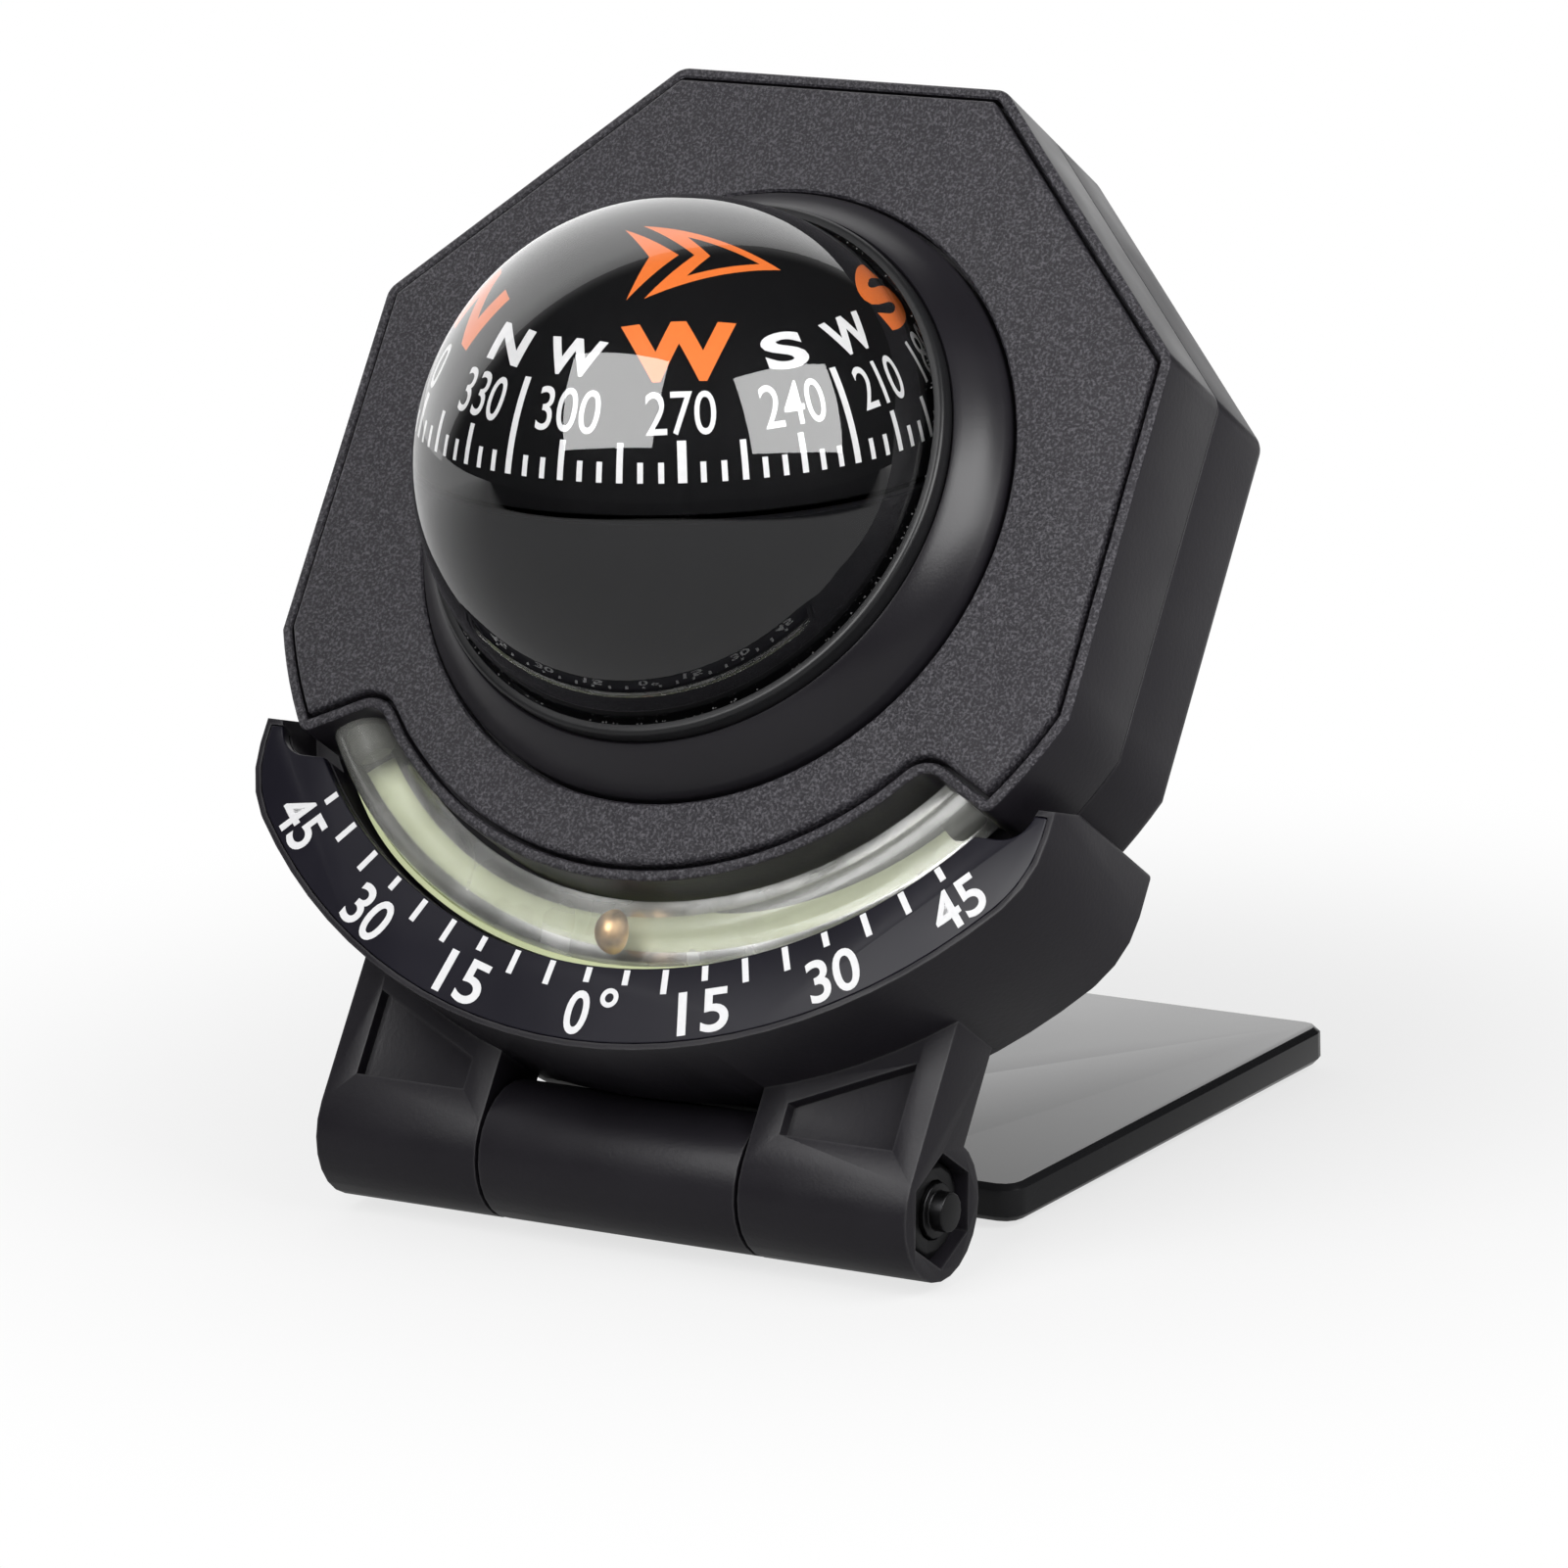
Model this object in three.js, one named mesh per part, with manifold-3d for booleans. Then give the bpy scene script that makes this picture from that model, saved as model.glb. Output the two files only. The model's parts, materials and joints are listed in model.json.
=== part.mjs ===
import * as THREE from 'three';
import { mergeVertices } from 'three/addons/utils/BufferGeometryUtils.js';
import Module from 'manifold-3d';

// Dashboard compass: a liquid-filled ball compass in an octagonal case, with a ball level below it,
// on a bracket hinged to a stick-on base. Millimetres, +Z up. The origin is the middle of the
// adhesive pad's underside, X runs across the face and -Y is towards the reader.
// Head pieces are drawn in the face's own axes: x across, y up the face, z out of it, with x and y
// zero at the face's centre and z zero at the plane through the hinge axis.

// Attitude
const faceLeanDegrees = 34.6;
const cardTurnDegrees = -58.4;

// Clearances between pieces
const seatGap = 0.3;
const runningGap = 0.3;
const pinGap = 0.1;
const overrun = 1;
const weldDistance = 0.001;

// Sizes across the face, from the dome outwards
const domeRadius = 18.3;
const domeWall = 1.2;
const gasketWidth = 0.7;
const gasketOuter = domeRadius + seatGap + gasketWidth;
const bezelRimRadius = gasketOuter + seatGap;
const bezelRimLand = 0.35;
const bezelConeWidth = 2.7;
const bezelFootRadius = bezelRimRadius + bezelConeWidth;
const bezelFlangeWidth = 1.8;
const capsuleWall = 1.3;
const capsuleFlangeWidth = 3.9;
const faceBandWidth = 5.3;
const notchRadius = bezelFootRadius + faceBandWidth;
const notchToTube = 0.4;
const tubeRadius = 2.2;
const tubeWall = 0.7;
const tubeBoreRadius = tubeRadius - tubeWall;
const tubeArcRadius = notchRadius + notchToTube + tubeRadius;
const tubeToCaseEdge = 1.154;
const caseRadius = tubeArcRadius + tubeRadius + tubeToCaseEdge;
const caseAcross = 2 * caseRadius * Math.cos(Math.PI / 8);
const tubeToScale = 0.8;
const scaleInnerRadius = tubeArcRadius + tubeRadius + tubeToScale;
const scaleWidth = 5.7;
const scaleOuterRadius = scaleInnerRadius + scaleWidth;
const hingeBelowCradle = 3.9;
const faceHeight = scaleOuterRadius + hingeBelowCradle;

// Planes out of the face, from the lip inwards
const lipPlane = 14.8;
const plateProud = 0.4;
const plateThickness = 1.5;
const plateTop = lipPlane + plateProud;
const plateBottom = plateTop - plateThickness;
const bezelRise = 3.6;
const bezelRimPlane = plateTop + bezelRise;
const bezelFootRise = 0.3;
const bezelFlangeThickness = 1.3;
const bezelFlangeTop = plateBottom - seatGap;
const bezelFlangeBottom = bezelFlangeTop - bezelFlangeThickness;
const domeCentreRise = 0.5;
const domeCentrePlane = bezelRimPlane + domeCentreRise;
const gasketProud = 1.2;
const gasketTaper = 0.4;
const gasketHeight = 3.4;
const gasketTop = bezelRimPlane + gasketProud;
const gasketBottom = gasketTop - gasketHeight;
const domeFlangeThickness = 1.3;
const domeFlangeTop = gasketBottom - seatGap;
const domeFlangeBottom = domeFlangeTop - domeFlangeThickness;
const capsuleTop = domeFlangeBottom - seatGap;
const capsuleFlangeThickness = 1.3;
const capsuleToFloor = 0.4;
const caseFloor = 1.6;
const caseBackPlane = domeCentrePlane - domeRadius - capsuleToFloor - caseFloor;
const levelBelowLip = 3.3;
const levelPlane = lipPlane - levelBelowLip;
const tubeToNotchFloor = 1.1;
const notchFloorPlane = levelPlane - tubeRadius - tubeToNotchFloor;
const notchFloorThickness = 1.05;
const partingPlane = notchFloorPlane - notchFloorThickness - seatGap / 2;
const scaleBelowLip = 1.6;
const scalePlane = lipPlane - scaleBelowLip;
const scaleThickness = 0.8;
const cradleStepPlane = notchFloorPlane + seatGap;
const cradleBackProud = 0.2;
const cradleBackPlane = caseBackPlane - cradleBackProud;

// Case
const caseCornerRadius = 1.5;
const caseWall = 1.8;
const caseBackEdge = 1.4;
const lipWidth = 0.75;

// Ends of the notch that shows the level
const notchCornerRadius = 1.6;
const notchTipRadius = 0.8;
const notchInnerDegrees = 51.2;
const notchOuterDegrees = 53.4;

// Capsule filling
const fillHoleRadius = 2.2;
const fillPlugLength = 1.5;

// Float
const floatToDome = 0.9;
const floatWall = 1.2;
const bowlRadius = domeRadius - domeWall - floatToDome;
const bowlInner = bowlRadius - floatWall;
const cardInset = 0.9;
const cardRadius = bowlRadius - cardInset;
const cardInner = cardRadius - floatWall;
const webHeight = 2;
const webThickness = 1;
const webHoleRadius = 2.2;
const webHolePitch = 9;
const webHoleCount = 4;
const hubRadius = 2.4;
const jewelRadius = 1.1;
const jewelHeight = 1.6;
const jewelPocketDepth = 0.5;
const jewelDrop = 1;
const magnetLength = 14;
const magnetWidth = 2.6;
const magnetThickness = 1.8;
const magnetOffset = 5.2;
const columnRadius = 2.2;
const columnTop = -3.2;
const weightRadius = 9;
const weightEdge = 0.8;
const pinRadius = 0.45;
const pinDepth = 5;
const pinTipLength = 1.2;
const pinSocketGap = 0.15;

// Level
const tubeEndDegrees = 53.4;
const tubeSocketDegrees = 54.1;
const levelBallRadius = tubeBoreRadius - runningGap;
const plugLength = 2.9;
const lumeThickness = 0.4;
const lumeEndDegrees = 49.4;
const lumeWallRise = 3.2;

// Scale plate and cradle; the ears stand beside the case below its corners
const scaleRim = 0.4;
const cradleHalfWidth = caseAcross / 2;
const cradleHipRadius = 8;
const earBelowCorner = 4.76;
const earTopBelow = caseRadius * Math.sin(Math.PI / 8) + earBelowCorner;
const earFrontDrop = 1.2;
const earFrontTopBelow = earTopBelow + earFrontDrop;
const earSlopeRun = 3.7;
const earSlopePlane = scalePlane - earSlopeRun;
const earRoundRadius = 0.35;
const earTipWidth = 0.75;
const earTipInner = cradleHalfWidth - earTipWidth;
const earShelfInset = 2.1;
const earShelfEnd = cradleHalfWidth - earShelfInset;
const earShelfDrop = 3.5;
const earShelfBelow = earTopBelow + earShelfDrop;
const earShelfRadius = 2.2;
const coreInnerWall = 1.45;
const coreInnerRadius = caseRadius + seatGap + coreInnerWall;
const coreOuterWall = 1.5;
const coreOuterRadius = scaleOuterRadius - coreOuterWall;
const coreFloor = 1.6;
const coreSpansDegrees = [[18.5, 32.5], [35, 49.5]];

// Hinge hardware
const screwRadius = 1.9;
const hingeBoreRadius = screwRadius + pinGap;
const screwHeadRadius = 3.3;
const screwHeadHeight = 2.4;
const headBoreDepth = 3.4;
const screwSocketRadius = 1.45;
const screwSocketDepth = 1.3;
const screwEndRadius = 1.35;
const screwEndLength = 1;
const nutAcross = 6.2;
const nutThickness = 2.3;
const nutFaceRadius = 2.85;
const nutChamfer = 0.5;
const nutPocketDepth = 4.1;
const washerRadius = 2.9;
const washerThickness = 0.6;

// Legs and knuckles
const barrelWall = 0.824;
const barrelRadius = (nutAcross / 2 + seatGap) / Math.cos(Math.PI / 6) + barrelWall;
const legInset = 7.7;
const barrelHalfLength = cradleHalfWidth - legInset;
const legWidth = 12.9;
const kneeHalfLength = barrelHalfLength - legWidth;
const legThickness = 5.2;
const legTopInset = 2.4;
const pocketDepth = 1;
const pocketMargin = 2.1;
const pocketOuterRise = 8.4;
const pocketInnerRise = 4.5;
const pocketFootRise = 2.3;

// Base
const plateNear = 13.2;
const plateLength = 44.8;
const plateSideInset = 2.2;
const plateWidth = 2 * (barrelHalfLength - plateSideInset);
const basePlateThickness = 2.65;
const basePlateCornerRadius = 1.6;
const basePlateChamfer = 0.4;
const knuckleLift = 0.2;
const padThickness = 0.5;
const padInset = 2.4;

// Case screws and bracket screws
const caseBossRadius = 3.6;
const caseScrewPitchRadius = bezelFootRadius + bezelFlangeWidth + seatGap + caseBossRadius;
const caseScrewRadius = 1;
const caseScrewHeadRadius = 2;
const caseScrewHeadHeight = 1.5;
const caseScrewSink = 0.3;
const caseBossRoof = 1;
const bracketScrewOffset = 6;
const bracketScrewPlane = (caseBackPlane + caseFloor + partingPlane) / 2;
const bracketScrewRadius = 0.8;
const bracketScrewHeadRadius = 1.5;
const bracketScrewHeadHeight = 1.2;
const bracketBossRim = 1.1;
const bracketBossRadius = bracketScrewHeadRadius + bracketBossRim;
const bracketBossReach = bracketScrewOffset + bracketBossRadius;
const bracketSeatRise = 0.3;
const bracketSeatBelow = Math.sqrt((caseRadius - caseWall) ** 2 - bracketBossReach ** 2) - bracketSeatRise;
const bracketScrewSkin = 1.3;
const bracketScrewEndBelow = scaleOuterRadius - bracketScrewSkin;
const crossLength = 2.2;
const crossWidth = 0.55;
const crossDepth = 0.8;

// Shares of a corner's radius: how far an arc stops before a rounded corner, and the least tip left
const notchStopShare = 1.3;
const hipStopShare = 0.4;
const leastTipShare = 0.1;

// Facets
const roundSteps = 48;
const capsuleSteps = 32;
const smallSteps = 14;
const domeRings = 7;
const arcSteps = 26;
const cornerSteps = 3;
const tubeSides = 10;
const boreSides = 6;
const tubeSteps = 26;
const ballRings = 6;
const coreSteps = 6;

const blackPlastic = new THREE.MeshStandardMaterial({ color: 0x2b2b2e, roughness: 0.62 });
const textured = new THREE.MeshStandardMaterial({ color: 0x3a3a3e, roughness: 0.8 });
const satinBlack = new THREE.MeshStandardMaterial({ color: 0x262629, roughness: 0.45 });
const glossBlack = new THREE.MeshStandardMaterial({ color: 0x17171b, roughness: 0.22 });
const rubber = new THREE.MeshStandardMaterial({ color: 0x141416, roughness: 0.7 });
const foam = new THREE.MeshStandardMaterial({ color: 0x3c3c3c, roughness: 0.95 });
const clearLook = { color: 0xe8eef0, roughness: 0.05, transparent: true, opacity: 0.3 };
const clear = new THREE.MeshStandardMaterial(clearLook);
const lume = new THREE.MeshStandardMaterial({ color: 0xd4dcae, roughness: 0.6 });
const brass = new THREE.MeshStandardMaterial({ color: 0xb98a4e, roughness: 0.3, metalness: 1 });
const steel = new THREE.MeshStandardMaterial({ color: 0x8c8c90, roughness: 0.35, metalness: 1 });
const blackSteel = new THREE.MeshStandardMaterial({ color: 0x202022, roughness: 0.4, metalness: 1 });
const jewelRed = new THREE.MeshStandardMaterial({ color: 0x8c2233, roughness: 0.15 });

const wasm = await Module();
wasm.setup();

const radians = THREE.MathUtils.degToRad;
const degrees = THREE.MathUtils.radToDeg;

// Six times the volume inside a set of faces, positive when they point out
function signedVolume(positions, triangles) {
  const corner = (i) => new THREE.Vector3().fromArray(positions, 3 * i);
  let sixfold = 0;
  for (let t = 0; t < triangles.length; t += 3) {
    const [a, b, c] = [0, 1, 2].map((k) => corner(triangles[t + k]));
    sixfold += a.dot(b.cross(c));
  }
  return sixfold;
}

// Closed body with shared corners and outward faces, ready to be cut and joined
function solid(geometry) {
  const bare = geometry.clone();
  bare.deleteAttribute('normal');
  bare.deleteAttribute('uv');
  const merged = mergeVertices(bare, weldDistance);
  const index = Array.from(merged.index.array);
  const kept = [];
  for (let t = 0; t < index.length; t += 3) {
    const [a, b, c] = index.slice(t, t + 3);
    if (a !== b && b !== c && c !== a) kept.push(a, b, c);
  }
  const vertProperties = merged.attributes.position.array;
  if (signedVolume(vertProperties, kept) < 0) kept.reverse();
  return new wasm.Manifold(new wasm.Mesh({ numProp: 3, vertProperties, triVerts: new Uint32Array(kept) }));
}

function geometryOf(body) {
  const { vertProperties, triVerts } = body.getMesh();
  const geometry = new THREE.BufferGeometry();
  geometry.setAttribute('position', new THREE.BufferAttribute(vertProperties, 3));
  geometry.setIndex(new THREE.BufferAttribute(triVerts, 1));
  return geometry;
}

const join = (...bodies) => bodies.reduce((all, next) => all.add(next));
const cut = (body, ...tools) => tools.reduce((rest, tool) => rest.subtract(tool), body);

function piece(name, body, material) {
  const geometry = geometryOf(body);
  geometry.computeVertexNormals();
  const mesh = new THREE.Mesh(geometry, material);
  mesh.name = name;
  return mesh;
}

// Solid of a flat outline between two planes along z
function slab(points, low, high, holes = []) {
  const shape = new THREE.Shape(points);
  shape.holes = holes.map((hole) => new THREE.Path(hole));
  const geometry = new THREE.ExtrudeGeometry(shape, { depth: high - low, bevelEnabled: false });
  return solid(geometry.translate(0, 0, low));
}

// Solid turned about z from a closed profile of [radius, z] points
function turned(profile, steps) {
  const points = [...profile, profile[0]].map(([r, z]) => new THREE.Vector2(r, z));
  return solid(new THREE.LatheGeometry(points, steps).rotateX(Math.PI / 2));
}

// Round bar along z between two planes
function bar(radius, low, high, steps = smallSteps) {
  return turned([[0, low], [radius, low], [radius, high], [0, high]], steps);
}

// Round bar along x between two places, in the face's axes, on the hinge axis
function hingeBar(radius, from, to, steps = smallSteps) {
  const geometry = new THREE.CylinderGeometry(radius, radius, to - from, steps);
  geometry.rotateZ(Math.PI / 2);
  return solid(geometry.translate((from + to) / 2, -faceHeight, 0));
}

const block = (x, y, z, sizeX, sizeY, sizeZ) =>
  solid(new THREE.BoxGeometry(sizeX, sizeY, sizeZ).translate(x, y, z));

// Points on a circle about the face's centre, with angles counted from straight down the face
const polar = (radius, angle) =>
  new THREE.Vector2(radius * Math.sin(radians(angle)), -radius * Math.cos(radians(angle)));

function arcPoints(radius, fromDegrees, toDegrees, steps = arcSteps) {
  const shares = Array.from({ length: steps + 1 }, (_, i) => i / steps);
  return shares.map((share) => polar(radius, fromDegrees + (toDegrees - fromDegrees) * share));
}

const circlePoints = (radius, steps) => arcPoints(radius, 0, 360, steps).slice(0, -1);

// Ring sector about the face's centre
const sector = (inner, outer, from, to, steps = arcSteps) =>
  [...arcPoints(outer, from, to, steps), ...arcPoints(inner, to, from, steps)];

// The corner between two straight runs, rounded to a radius
function rounded(before, corner, after, radius) {
  const back = before.clone().sub(corner).normalize();
  const ahead = after.clone().sub(corner).normalize();
  const half = Math.acos(THREE.MathUtils.clamp(back.dot(ahead), -1, 1)) / 2;
  const reach = radius / Math.tan(half);
  const centre = back.clone().add(ahead).normalize().multiplyScalar(radius / Math.sin(half)).add(corner);
  const start = back.multiplyScalar(reach).add(corner).sub(centre);
  const end = ahead.multiplyScalar(reach).add(corner).sub(centre);
  const turn = Math.atan2(start.x * end.y - start.y * end.x, start.dot(end));
  return Array.from({ length: cornerSteps + 1 }, (_, i) =>
    start.clone().rotateAround(new THREE.Vector2(), (turn * i) / cornerSteps).add(centre));
}

// Case outline: straight sides above, round below where it sits in the cradle
const caseCorners = (apothem) => [112.5, 157.5, 202.5, 247.5].map((angle) =>
  polar(apothem / Math.cos(Math.PI / 8), angle));

// Straight sides of the case, drawn inwards by an inset, from the lower right corner to the lower left
function upperOutline(inset) {
  const apothem = caseAcross / 2 - inset;
  const low = -Math.sqrt((caseRadius - inset) ** 2 - apothem ** 2);
  const lowerRight = new THREE.Vector2(apothem, low);
  const lowerLeft = new THREE.Vector2(-apothem, low);
  const corners = [lowerRight, ...caseCorners(apothem), lowerLeft];
  const radius = Math.max(caseCornerRadius - inset, 0);
  return corners.flatMap((corner, i) => {
    const ends = i === 0 || i === corners.length - 1;
    return ends || radius === 0 ? [corner] : rounded(corners[i - 1], corner, corners[i + 1], radius);
  });
}

const angleFromDown = (point) => degrees(Math.atan2(point.x, -point.y));

function fullOutline(inset) {
  const upper = upperOutline(inset);
  const end = angleFromDown(upper[0]);
  return [...upper, ...arcPoints(caseRadius - inset, -end, end).slice(1, -1)];
}

// Where the notch's end line, moved away from the notch by an inset, meets a circle
function notchEnd(radius, inset) {
  const inner = polar(notchRadius, notchInnerDegrees);
  const along = polar(caseRadius, notchOuterDegrees).sub(inner).normalize();
  const across = new THREE.Vector2(-along.y, along.x);
  const start = inner.addScaledVector(across, inset);
  const toFoot = -start.dot(along);
  const foot = start.clone().addScaledVector(along, toFoot);
  return foot.addScaledVector(along, Math.sqrt(radius ** 2 - foot.lengthSq()));
}

const mirrored = (points) => points.map((p) => new THREE.Vector2(-p.x, p.y)).reverse();

// Case outline with the notch, drawn inwards by an inset
function notchedOutline(inset) {
  const upper = upperOutline(inset);
  const lowerRadius = caseRadius - inset;
  const innerRadius = notchRadius - inset;
  const cornerRadius = notchCornerRadius + inset;
  const tip = notchEnd(lowerRadius, inset);
  const corner = notchEnd(innerRadius, inset);
  const clearDegrees = angleFromDown(corner) - degrees((notchStopShare * cornerRadius) / innerRadius);
  const arc = arcPoints(innerRadius, -clearDegrees, clearDegrees, arcSteps - 6);
  const rim = arcPoints(lowerRadius, angleFromDown(tip), angleFromDown(upper[0]), 3);
  const tipRadius = Math.max(notchTipRadius - inset, leastTipShare * notchTipRadius);
  const rightTip = rounded(corner, tip, rim[1], tipRadius);
  const rightCorner = rounded(arc[arc.length - 1], corner, tip, cornerRadius);
  const right = [...rightCorner, ...rightTip, ...rim.slice(1, -1)];
  return [...upper, ...mirrored(right), ...arc, ...right];
}

const grooveInset = lipWidth + seatGap;
const rebatePlane = plateBottom - seatGap;
const screwPlaces = [112.5, 67.5, -112.5, -67.5].map((angle) => polar(caseScrewPitchRadius, angle));
const caseScrewHole = caseScrewRadius + seatGap;
const caseScrewReach = rebatePlane - 2 * seatGap - caseBossRoof;

function frontShell() {
  const low = partingPlane + seatGap / 2;
  const walls = slab(notchedOutline(0), notchFloorPlane - seatGap, lipPlane);
  const floor = slab(fullOutline(0), low, notchFloorPlane);
  const inside = slab(notchedOutline(caseWall), low - overrun, rebatePlane);
  const rebate = slab(notchedOutline(lipWidth), rebatePlane - seatGap / 2, lipPlane + overrun);
  const bossTop = rebatePlane - seatGap;
  const bosses = screwPlaces.map((p) => bar(caseBossRadius, low, bossTop).translate([p.x, p.y, 0]));
  const holes = screwPlaces.map((p) =>
    bar(caseScrewHole, low - overrun, caseScrewReach + seatGap).translate([p.x, p.y, 0]));
  const bore = circlePoints(tubeRadius + seatGap, tubeSides);
  const socket = alongLevel(bore, -tubeSocketDegrees, tubeSocketDegrees, tubeSteps);
  const shell = cut(join(walls, floor), inside, rebate, socket);
  const kept = join(...bosses).intersect(slab(notchedOutline(0), low, bossTop));
  return piece('front_shell', cut(shell.add(kept), ...holes), blackPlastic);
}

function rearShell() {
  const high = partingPlane - seatGap / 2;
  const outer = new THREE.ExtrudeGeometry(new THREE.Shape(fullOutline(0)), {
    depth: high - caseBackPlane - caseBackEdge + overrun,
    bevelThickness: caseBackEdge,
    bevelSize: caseBackEdge,
    bevelOffset: -caseBackEdge,
    bevelSegments: 3,
  });
  const body = solid(outer.translate(0, 0, caseBackPlane + caseBackEdge));
  const above = slab(circlePoints(caseAcross, smallSteps), high, high + 2 * (overrun + caseBackEdge));
  const floorPlane = caseBackPlane + caseFloor;
  const inside = slab(fullOutline(caseWall), floorPlane, high + overrun);
  const bosses = screwPlaces.map((p) =>
    bar(caseBossRadius, floorPlane - seatGap, high).translate([p.x, p.y, 0]));
  const headRadius = caseScrewHeadRadius + seatGap;
  const headFloor = caseBackPlane + caseScrewSink + caseScrewHeadHeight + seatGap;
  const holes = screwPlaces.flatMap((p) => [
    bar(headRadius, caseBackPlane - overrun, headFloor).translate([p.x, p.y, 0]),
    bar(caseScrewHole, caseBackPlane, high + overrun).translate([p.x, p.y, 0]),
  ]);
  const lowBosses = bracketScrewPlaces.map((x) =>
    upright(bracketBossRadius, x, bracketSeatBelow, wallInside));
  const lowHoles = bracketScrewPlaces.map((x) =>
    upright(bracketScrewRadius + seatGap, x, bracketSeatBelow - overrun, caseRadius + overrun));
  const cup = cut(body, above, inside);
  const kept = join(...bosses, ...lowBosses).intersect(slab(fullOutline(0), caseBackPlane, high));
  return piece('rear_shell', cut(cup.add(kept), ...holes, ...lowHoles), blackPlastic);
}

// Bracket screws are driven down the face from inside the case, between the legs
const bracketScrewPlaces = [-bracketScrewOffset, bracketScrewOffset];
const wallInside = caseRadius - caseWall / 2;

// Round bar along y at a place across the face, between two distances below the face's centre
function upright(radius, x, topBelow, bottomBelow) {
  const geometry = new THREE.CylinderGeometry(radius, radius, bottomBelow - topBelow, smallSteps);
  return solid(geometry.translate(x, -(topBelow + bottomBelow) / 2, bracketScrewPlane));
}

function facePlate() {
  const aperture = circlePoints(bezelFootRadius, roundSteps);
  return piece('face_plate', slab(notchedOutline(grooveInset), plateBottom, plateTop, [aperture]), textured);
}

const bezelOuter = bezelFootRadius - seatGap;

function bezelRing() {
  const profile = [
    [bezelRimRadius, bezelFlangeBottom],
    [bezelFootRadius + bezelFlangeWidth, bezelFlangeBottom],
    [bezelFootRadius + bezelFlangeWidth, bezelFlangeTop],
    [bezelOuter, bezelFlangeTop],
    [bezelOuter, plateTop + bezelFootRise],
    [bezelRimRadius + bezelRimLand, bezelRimPlane],
    [bezelRimRadius, bezelRimPlane],
  ];
  return piece('bezel_ring', turned(profile, roundSteps), satinBlack);
}

const gasketInner = gasketOuter - gasketWidth;

function domeGasket() {
  const profile = [
    [gasketInner, gasketBottom],
    [gasketOuter, gasketBottom],
    [gasketOuter, bezelRimPlane + gasketProud / 2],
    [gasketOuter - gasketTaper, gasketTop],
    [gasketInner, gasketTop],
  ];
  return piece('dome_gasket', turned(profile, roundSteps), rubber);
}

// Points along a circle's arc in a profile, counted from its outermost point towards its pole
function profileArc(radius, centre, from, to, steps) {
  return Array.from({ length: steps + 1 }, (_, i) => {
    const angle = from + ((to - from) * i) / steps;
    return [radius * Math.cos(angle), centre + radius * Math.sin(angle)];
  });
}

const capped = (points) => points.map(([r, z]) => [Math.abs(r) < weldDistance ? 0 : r, z]);
const domeInner = domeRadius - domeWall;

function dome() {
  const profile = capped([
    ...profileArc(domeRadius, domeCentrePlane, Math.PI / 2, 0, domeRings),
    [domeRadius, domeFlangeTop],
    [gasketOuter, domeFlangeTop],
    [gasketOuter, domeFlangeBottom],
    [domeInner, domeFlangeBottom],
    ...profileArc(domeInner, domeCentrePlane, 0, Math.PI / 2, domeRings),
  ]);
  return piece('dome', turned(profile, roundSteps), clear);
}

const capsuleInner = domeRadius - capsuleWall;
const sphereRise = (radius, plane) => Math.asin((plane - domeCentrePlane) / radius);

function capsuleBack() {
  const flangeTop = bezelFlangeBottom - seatGap;
  const flangeBottom = flangeTop - capsuleFlangeThickness;
  const hole = (radius) => -Math.acos(fillHoleRadius / radius);
  const innerTop = sphereRise(capsuleInner, capsuleTop);
  const outerTop = sphereRise(domeRadius, flangeBottom);
  const profile = [
    ...profileArc(capsuleInner, domeCentrePlane, hole(capsuleInner), innerTop, domeRings - 2),
    [gasketOuter, capsuleTop],
    [gasketOuter, flangeTop],
    [gasketOuter + capsuleFlangeWidth, flangeTop],
    [gasketOuter + capsuleFlangeWidth, flangeBottom],
    ...profileArc(domeRadius, domeCentrePlane, outerTop, hole(domeRadius), domeRings - 3),
  ];
  return piece('capsule_back', turned(profile, capsuleSteps), glossBlack);
}

function fillPlug() {
  const low = domeCentrePlane - domeRadius;
  const radius = fillHoleRadius - seatGap;
  return piece('fill_plug', bar(radius, low + seatGap / 2, low + seatGap / 2 + fillPlugLength), rubber);
}

// Level tube: a ring section carried along an arc about the face's centre
class LevelArc extends THREE.Curve {
  constructor(fromDegrees, toDegrees) {
    super();
    this.fromDegrees = fromDegrees;
    this.toDegrees = toDegrees;
  }

  getPoint(share, target = new THREE.Vector3()) {
    const place = polar(tubeArcRadius, this.fromDegrees + (this.toDegrees - this.fromDegrees) * share);
    return target.set(place.x, place.y, levelPlane);
  }
}

function alongLevel(outline, fromDegrees, toDegrees, steps, hole) {
  const shape = new THREE.Shape(outline);
  if (hole) shape.holes = [new THREE.Path(hole)];
  const extrudePath = new LevelArc(fromDegrees, toDegrees);
  return solid(new THREE.ExtrudeGeometry(shape, { steps, extrudePath, bevelEnabled: false }));
}

function levelTube() {
  const outline = circlePoints(tubeRadius, tubeSides);
  const bore = circlePoints(tubeBoreRadius, boreSides);
  return piece('level_tube', alongLevel(outline, -tubeEndDegrees, tubeEndDegrees, tubeSteps, bore), clear);
}

function tubePlug(name, side) {
  const radius = tubeBoreRadius - seatGap;
  const spanDegrees = degrees(plugLength / tubeArcRadius);
  const ends = [side * (tubeEndDegrees - spanDegrees), side * tubeEndDegrees];
  return piece(name, alongLevel(circlePoints(radius, boreSides), ...ends, 3), rubber);
}

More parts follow.
